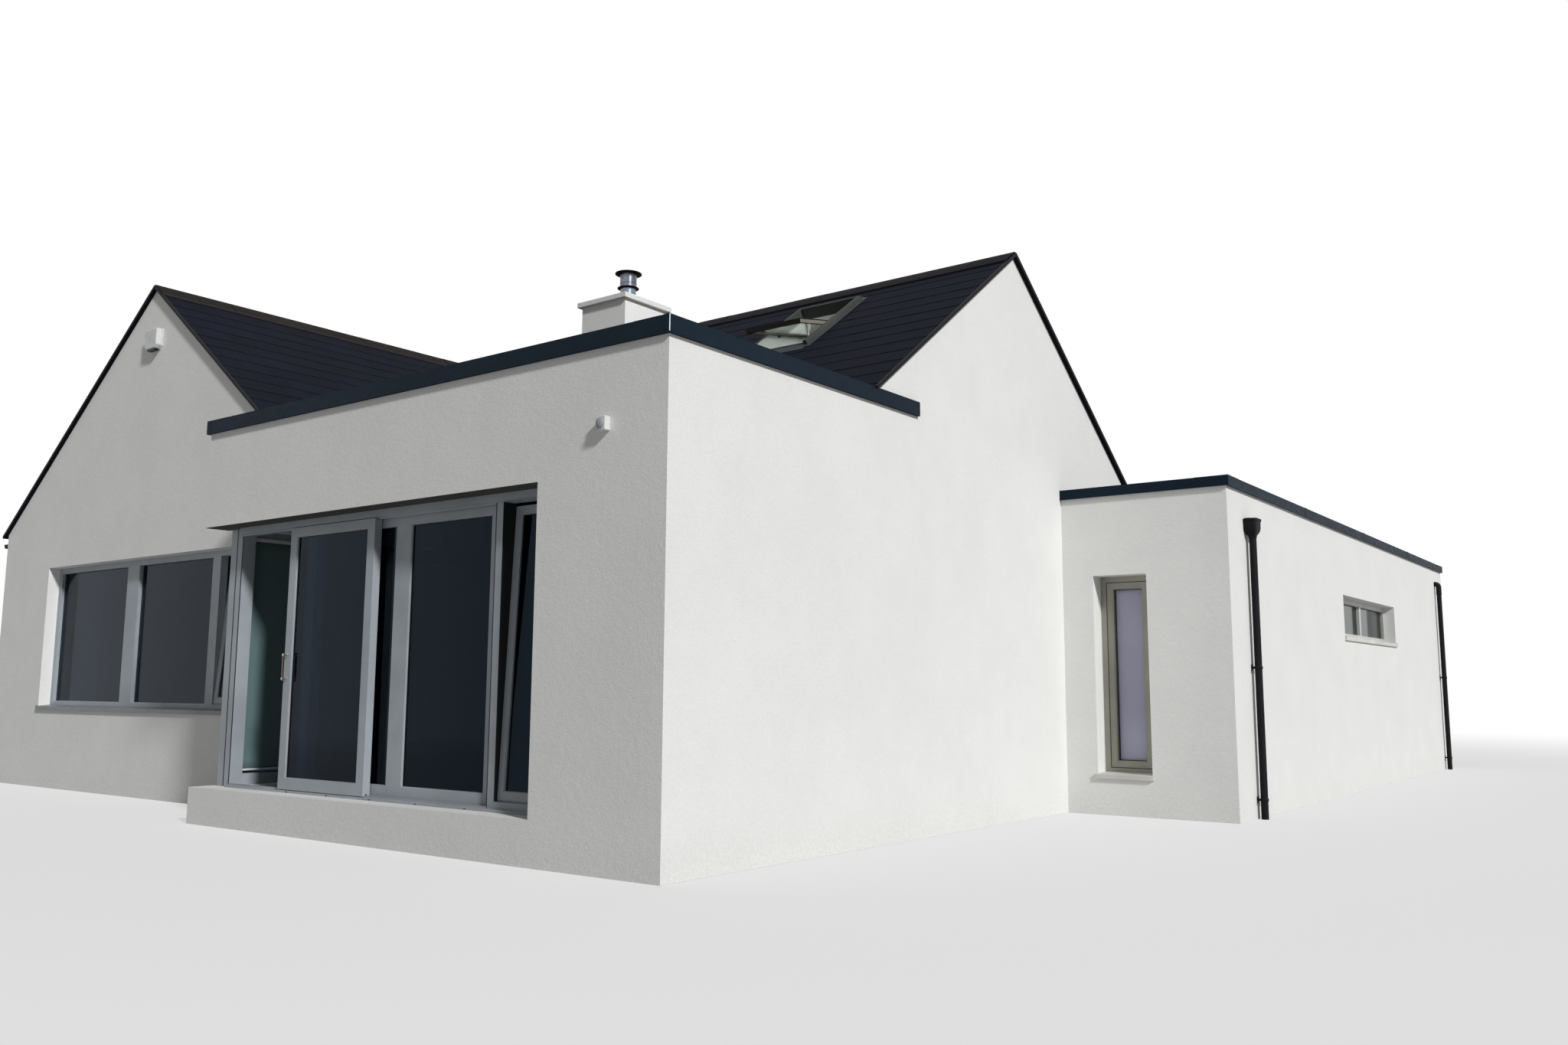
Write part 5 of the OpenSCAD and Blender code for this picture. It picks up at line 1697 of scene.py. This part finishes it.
@dataclass(frozen=True)
class Cappings:
    """The rear capping's folded run, the box's drip, the straps of both, and a bead of painted
    highlight down the box's front corner.
    """

    box: Parapet = Parapet(
        ((-5.650, 2.400), (-5.650, -0.030), (0.030, -0.030), (0.030, 3.105)),
        ((-1, 0), (0, -1), (1, 0)), BOX_TOP, 0.120,
    )
    rear: Parapet = Parapet(
        ((0.0, 5.900), (1.695, 5.900), (1.695, 16.790), (-5.350, 16.790), (-5.350, 8.970)),
        ((0, -1), (1, 0), (0, 1), (-1, 0)), EXT_TOP, 0.100,
    )
    drip: tuple[Pair, ...] = (
        (-0.006, 0.004), (0.0, 0.0), (0.0, -0.0025), (-0.003, -0.0025), (-0.006, 0.0),
    )
    fold: tuple[Pair, ...] = (
        (-0.0292, -0.0146), (-0.0292, -0.0940), (-0.008, -0.0940), (-0.003, -0.100),
        (0.0, -0.100), (0.0, -0.002), (-0.002, 0.0), (-0.330, -0.002), (-0.330, -0.0146),
    )
    infill: tuple[Pair, Pair] = ((-5.319, 8.106), (-5.0205, 8.9695))
    # Radius of the bright bead that paints the highlight of the box's sunlit front corner.
    bead: float = 0.003
    corner: float = 0.029

    def build(self) -> None:
        """Builds the rear run and the box's drip, with straps over the joints of both."""
        box, rear = self.box, self.rear
        drips, straps, run = Shell("capping_drips"), Shell("capping_straps"), Shell("rear_capping")
        drips.carry(mitred_run(box.corners, box.ways, box.top - box.face, self.drip))
        run.carry(mitred_run(rear.corners, rear.ways, rear.top, self.fold))
        near, far = self.infill
        run.box((*near, EXT_TOP - 0.0146), (*far, EXT_TOP - 0.002))
        for parapet in (box, rear):
            parapet.add_straps(straps)
        run.build(CAPPING, "capping_metal", replaces=("ext_capping",))
        drips.build(CAPPING, "capping_metal", bevel=0.001)
        straps.build(CAPPING, "capping_metal", bevel=0.001)
        self.build_highlight_bead()

    def build_highlight_bead(self) -> None:
        """Runs a bright bead down the box's front corner, an arc carried upright, as a painted
        highlight of the sunlit edge.
        """
        shell = Shell("capping_corner_highlight_bead")
        arc = np.linspace(-0.62 * np.pi, 0.12 * np.pi, 9)
        ring = np.column_stack([np.cos(arc), np.sin(arc), arc * 0]) * self.bead
        foot, top = (ring + (self.corner, -self.corner, BOX_TOP - z) for z in (0.116, 0.001))
        shell.carry(np.stack([foot, top]))
        shell.build(HIGHLIGHT_BEAD, "capping_metal", smooth=40)


@dataclass(frozen=True)
class Chimney:
    """The stack's capstone, its steel flue and cowl, and the lead dressed round its foot."""

    level: float = 5.562
    skirt: float = 0.130
    lead: float = 0.004
    apron: float = 0.120

    def build(self) -> None:
        """Builds the capstone, flue, cowl and leadwork."""
        self.build_cap()
        self.build_flue()
        self.build_lead()

    def build_cap(self) -> None:
        """A cast slab with eased edges: squares of the given half width and level."""
        steps = np.array([
            (0.358, -0.0652), (0.4035, -0.0652), (0.4075, -0.062), (0.4075, -0.006),
            (0.4025, -0.001), (0.180, 0.0),
        ])
        square = CUBE[:4, :2] * 2 - 1
        plan = steps[:, None, :1] * square + np.array(STACK)
        high = np.broadcast_to(self.level + steps[:, None, 1:], plan.shape[:2] + (1,))
        shell = Shell("chimney_capstone")
        shell.carry(np.concatenate([plan, high], -1))
        shell.build(SMOOTH_RENDER, "chimney_cap", replaces=("chimney_cap",), bevel=0.003)

    def build_flue(self) -> None:
        """Turns the flue's sections and its dished cowl about the flue's axis."""
        centre = (STACK[0] + 0.030, STACK[1] + 0.025, self.level)
        base = ((0.126, 0.0), (0.126, 0.004), (0.106, 0.009), (0.100, 0.022), (0.0965, 0.024),
                (0.0965, 0.200), (0.090, 0.206))
        sleeve = ((0.098, 0.221), (0.102, 0.223), (0.102, 0.262), (0.1045, 0.265),
                  (0.1045, 0.273), (0.102, 0.276), (0.102, 0.344), (0.1045, 0.347),
                  (0.1045, 0.355), (0.102, 0.358), (0.102, 0.389), (0.096, 0.391))
        collar = ((0.092, 0.206), (0.130, 0.208), (0.134, 0.213), (0.130, 0.218), (0.096, 0.220))
        cowl = ((0.090, 0.388), (0.152, 0.3925), (0.164, 0.394), (0.164, 0.402),
                (0.152, 0.405), (0.080, 0.416), (0.012, 0.4295))
        plans = (("flue_sections", (base, sleeve), FLUE, ("chimney_flue",), 30),
                 ("flue_cowl", (collar, cowl), SOOTY, (), 35))
        for name, profiles, finish, nodes, smooth in plans:
            shell = Shell(name)
            for profile in profiles:
                shell.carry(lathe(profile, centre))
            shell.build(finish, "flue_steel", replaces=nodes, smooth=smooth)

    def build_lead(self) -> None:
        """Dresses lead up the stack's faces and out over the slates."""
        shell, (x, y) = Shell("chimney_lead"), STACK
        half, wide = STACK_HALF, STACK_HALF + self.lead
        peak, low = MAIN_RIDGE_Z - 0.01, MAIN_RIDGE_Z - math.tan(MAIN_PITCH) * half - 0.01
        rise = self.skirt + 0.01
        ridge = np.array((0, MAIN_RIDGE_Y, MAIN_RIDGE_Z))
        outline = [(-wide, low), (0, peak), (wide, low), (wide, low + rise), (0, peak + rise),
                   (-wide, low + rise)]
        apron = [(0, 0.008), (0, 0.0125), (0.165, 0.0145), (0.165, 0.010)]
        strip = [(0, 0.008), (0, 0.0135), (0.115, 0.0135), (0.115, 0.008)]
        reach = RIGHT * (half + self.apron)
        for side in (-1, 1):
            shell.prism(outline, (x + side * half, y, 0), (x + side * wide, y, 0), (BACK, UP))
            near, far = sorted((y + side * half, y + side * wide))
            shell.box((x - wide, near, low), (x + wide, far, low + rise))
            down = np.array((0, side * math.cos(MAIN_PITCH), -math.sin(MAIN_PITCH)))
            out = np.array((0, side * math.sin(MAIN_PITCH), math.cos(MAIN_PITCH)))
            foot = ridge + down * half / math.cos(MAIN_PITCH)
            shell.prism(apron, foot + x * RIGHT - reach, foot + x * RIGHT + reach, (down, out))
            for way in (-1, 1):
                edge = RIGHT * (x + way * half)
                shell.prism(strip, ridge + edge + down * 0.16, foot + edge, (way * RIGHT, out))
        shell.build(LEAD, "chimney_cap", bevel=0.001)


# Rainwater goods and wall fittings


@dataclass(frozen=True)
class Rainwater:
    """The hopper, downpipes and brackets on the right wall, and the wing gutter's fittings."""

    pipe_x: float = 1.727
    radius: float = 0.034
    front_y: float = 6.485
    rear_y: float = 16.170
    ground: float = -0.315
    elbow: float = 2.565
    clips: Pair = (1.086, -0.150)
    gutter_x: float = WING_X0 - 0.056
    gutter_z: float = 2.67463
    gutter_clips: int = 10

    def pipe(self, shell: Shell, y: float, high: float) -> None:
        """Adds a straight pipe from the ground up, held by its clips.

        Args:
            shell: takes the pipe.
            y: its place along the wall.
            high: level of its top.
        """
        path = np.array([(self.pipe_x, y, self.ground), (self.pipe_x, y, high)])
        shell.carry(tube(path, self.radius, BACK, 32))
        for z in self.clips:
            self.bracket(shell, y, z)

    def collar(self, shell: Shell, y: float, z: float, high: float, grow: float) -> None:
        """Adds a socket round a pipe: a short lathe profile wider than the pipe.

        Args:
            shell: takes the socket.
            y: the pipe's place along the wall.
            z: level of the socket's foot.
            high: its height.
            grow: how far it stands out from the pipe.
        """
        r = self.radius
        profile = ((r - 0.004, 0), (r + grow * 0.6, 0), (r + grow, 0.004),
                   (r + grow, high - 0.006), (r + grow * 0.5, high), (r - 0.004, high))
        shell.carry(lathe(profile, (self.pipe_x, y, z), sides=32))

    def bracket(self, shell: Shell, y: float, z: float) -> None:
        """Adds a pipe clip: a ring round the pipe, two ears and a stem to a wall plate.

        Args:
            shell: takes the clip.
            y: the pipe's place along the wall.
            z: level of the ring's foot.
        """
        x = self.pipe_x
        self.collar(shell, y, z, 0.028, 0.006)
        shell.box((EXT_X1, y - 0.030, z - 0.016), (EXT_X1 + 0.006, y + 0.030, z + 0.044))
        shell.box((EXT_X1, y - 0.010, z + 0.004), (x - 0.030, y + 0.010, z + 0.024))
        for near in (y - 0.056, y + 0.036):
            shell.box((x - 0.004, near, z + 0.002), (x + 0.004, near + 0.020, z + 0.026))

    def hopper(self, shell: Shell, y: float) -> None:
        """Adds the hopper head: rounded rectangles from its outlet up, over the rim and down.

        Each ring is a superellipse: half width times cos and sin to the power 0.35.

        Args:
            shell: takes the hopper.
            y: its place along the wall.
        """
        spread = circle(40)
        soft = np.sign(spread) * np.abs(spread) ** 0.35
        rows = np.array([
            (1.694, 1.760, 0.036, 2.362), (1.684, 1.764, 0.044, 2.372),
            (1.674, 1.772, 0.062, 2.386), (1.668, 1.782, 0.082, 2.408),
            (1.666, 1.788, 0.092, 2.436), (1.666, 1.790, 0.094, 2.506),
            (1.666, 1.795, 0.099, 2.508), (1.666, 1.795, 0.099, 2.530),
            (1.671, 1.789, 0.093, 2.530), (1.671, 1.786, 0.089, 2.450),
            (1.690, 1.760, 0.030, 2.400),
        ])
        left, right, half, level = rows.T[..., None]
        x = (left + right) / 2 + (right - left) / 2 * soft[:, 0]
        shell.carry(np.stack([x, y + half * soft[:, 1], level + x * 0], -1))

    def build(self) -> None:
        """Builds both downpipes, the hopper, the outlets and the gutter's fittings."""
        front, rear = Shell("front_rain_pipe"), Shell("rear_rain_pipe")
        x, y = self.pipe_x, self.front_y
        self.pipe(front, y, 2.37)
        self.hopper(front, y)
        self.collar(front, y, 2.345, 0.036, 0.005)
        front.box((1.640, y - 0.034, 2.505), (1.722, y + 0.034, 2.541))
        y = self.rear_y
        self.pipe(rear, y, 2.470)
        bend = [(x, y, 2.440), (x, y, self.elbow), (EXT_X1 - 0.004, y, self.elbow)]
        rear.carry(tube(rounded_path(bend, 0.056, 14), 0.0385, BACK, 32))
        self.collar(rear, y, 2.392, 0.060, 0.0045)
        front.build(TRIM, "black_trim", replaces=("front_downpipe",), smooth=32)
        rear.build(TRIM, "black_trim", replaces=("rear_downpipe",), smooth=32)
        self.build_gutter()

    def build_gutter(self) -> None:
        """Adds brackets under the wing's gutter."""
        shell = Shell("gutter_fittings")
        half = np.linspace(1.13 * np.pi, 1.98 * np.pi, 17)
        arc = np.stack([np.cos(half), np.sin(half)], -1)
        band = np.concatenate([arc * 0.0595, arc[::-1] * 0.0550])
        for y in np.linspace(WING_Y0 + 0.25, WING_Y1 - 0.25, self.gutter_clips):
            near, far = ((self.gutter_x, y + off, self.gutter_z) for off in (-0.012, 0.012))
            shell.prism(band, near, far, (RIGHT, UP))
        shell.build(TRIM, "black_trim", smooth=30)


@dataclass(frozen=True)
class Fittings:
    """The alarm's bell box and the movement sensor."""

    bell: Point = (-8.732, 0.950, 4.773)
    sensor: Point = (-0.558, 0.0, 2.624)

    def build(self) -> None:
        """Builds both."""
        self.build_bell()
        self.build_sensor()

    def build_bell(self) -> None:
        """Builds the cover, base and lens, each an outline carried out from the wall."""
        x, y, z = self.bell
        cover = ((-0.136, 0.122), (0.136, 0.122), (0.138, -0.068), (0.098, -0.104),
                 (-0.098, -0.104), (-0.138, -0.068))
        base = ((-0.140, 0.125), (0.140, 0.125), (0.140, -0.075), (0.101, -0.112),
                (-0.101, -0.112), (-0.140, -0.075))
        lens = ((-0.086, -0.102), (0.086, -0.102), (0.076, -0.125), (-0.076, -0.125))
        plans = (("bell_box_cover", cover, 0.080, 0.010, WHITE_PLASTIC, ("bell_box",), 0.012),
                 ("bell_box_base", base, 0.014, 0.0, WHITE_PLASTIC, (), 0.003),
                 ("bell_box_lens", lens, 0.068, 0.016, DARK_PLASTIC, (), 0.004))
        for name, outline, near, far, finish, nodes, bevel in plans:
            shell = Shell(name)
            shell.prism(outline, (x, y - near, z), (x, y - far, z), (RIGHT, UP))
            shell.build(finish, "white_plastic", replaces=nodes, bevel=bevel)

    def build_sensor(self) -> None:
        """Builds the case and the dome, a quarter of an ellipse turned about y."""
        x, y, z = self.sensor
        case, dome = Shell("sensor_case"), Shell("sensor_dome")
        case.box((x - 0.045, y - 0.054, z - 0.045), (x + 0.045, y, z + 0.052))
        case.build(WHITE_PLASTIC, "white_plastic", replaces=("movement_sensor",), bevel=0.006)
        turn = np.linspace(0.30, 0.485 * np.pi, 14)
        ball = np.stack([0.040 * np.cos(turn), -0.024 * np.sin(turn)], -1)
        dome.carry(lathe(ball, (x - 0.001, y - 0.0475, z + 0.003), axis=1, sides=36))
        dome.build(DOME_PLASTIC, "white_plastic", smooth=30)


# Studio


@dataclass(frozen=True)
class Studio:
    """The plain pale floor, the light and the camera."""

    eye: Point = (10.6176, -14.1984, 1.1988)
    turn: Point = (1.702522, -0.004574, 0.644415)
    lens: float = 28.7457
    far: float = 500.0
    sun_way: Point = (-2.85, 1.0, -1.88)
    sun_width: float = 6.0
    sun_strength: float = 2.85
    sky_strength: float = 0.17
    floor_half: float = 150.0
    floor_z: float = -0.002
    floor_tone: float = 0.55
    fade: Pair = (10.0, 30.0)

    def build_camera(self) -> None:
        """Sets the camera at the photograph's place, angle and lens."""
        data = bpy.data.cameras.new("camera")
        data.sensor_width, data.lens, data.clip_end = 36.0, self.lens, self.far
        camera = linked("camera", data)
        camera.location, camera.rotation_euler = self.eye, self.turn
        bpy.context.scene.camera = camera

    def seen(self, nodes: Nodes) -> Socket:
        """A mask of the rays that look straight at, mirror or pass to the background.

        Args:
            nodes: the tree that it is used in.

        Returns:
            The mask.
        """
        path = nodes.add("LightPath").outputs
        some = nodes.math("MAXIMUM", path["Is Camera Ray"], path["Is Glossy Ray"])
        return nodes.math("MAXIMUM", some, path["Is Transmission Ray"])

    def build_light(self) -> None:
        """Hangs one broad lamp to the right and fills the rest with an even sky."""
        lamp = bpy.data.lights.new("key", "SUN")
        lamp.energy, lamp.angle = self.sun_strength, math.radians(self.sun_width)
        way = np.array(self.sun_way) / np.linalg.norm(self.sun_way)
        turn = (math.acos(-way[2]), 0.0, math.atan2(-way[0], way[1]))
        linked("key", lamp).rotation_euler = turn
        world = bpy.data.worlds.new("studio")
        bpy.context.scene.world = world
        world.use_nodes = True
        nodes = Nodes(world.node_tree)
        gain = nodes.times(self.seen(nodes), 1 - self.sky_strength)
        strength = nodes.math("ADD", gain, self.sky_strength)
        sky = nodes.add("Background", {"Color": (1, 1, 1, 1), "Strength": strength})
        nodes.add("OutputWorld", {"Surface": sky.outputs[0]})

    def build_floor(self) -> None:
        """Lays a pale floor that fades to the white background away from the house."""
        mesh = bpy.data.meshes.new("floor")
        corners = (CUBE[:4] * 2 - 1) * (self.floor_half, self.floor_half, -self.floor_z)
        mesh.from_pydata(corners.tolist(), [], [(0, 1, 2, 3)])
        floor = linked("floor", mesh)
        made = bpy.data.materials.new("studio_floor")
        made.use_nodes = True
        nodes = Nodes(made.node_tree)
        matt = nodes.add("BsdfDiffuse", {"Color": (*(self.floor_tone,) * 3, 1)})
        plain_white = nodes.add("Emission", {"Color": (1, 1, 1, 1), "Strength": 1.0})
        away = nodes.add("VectorMath", {0: nodes.place()}, operation="LENGTH").outputs["Value"]
        fade = nodes.times(nodes.ramp(away, *self.fade), 1 - self.floor_tone)
        mask = nodes.times(nodes.math("ADD", fade, self.floor_tone), self.seen(nodes))
        mix = nodes.add("MixShader", {0: mask, 1: matt.outputs[0], 2: plain_white.outputs[0]})
        nodes.add("OutputMaterial", {"Surface": mix.outputs[0]})
        mesh.materials.append(made)

    def build(self) -> None:
        """Builds the camera, light and floor, and sets the plain view transform."""
        self.build_camera()
        self.build_light()
        self.build_floor()
        bpy.context.scene.view_settings.view_transform = "Standard"
        log.info("studio: ready")


def main() -> None:
    """Builds the scene, sub-assembly by sub-assembly."""
    logging.basicConfig(level=logging.INFO, format="%(name)s %(message)s")
    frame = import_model()
    Studio().build()
    Construction(frame["nodes"]).dress()
    for part in (SlateRoofs(), Windows(), RoofWindow(), Screen(), Blinds(), Cappings(),
                 Chimney(), Rainwater(), Fittings()):
        part.build()
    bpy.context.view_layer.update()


if __name__ == "__main__":
    main()
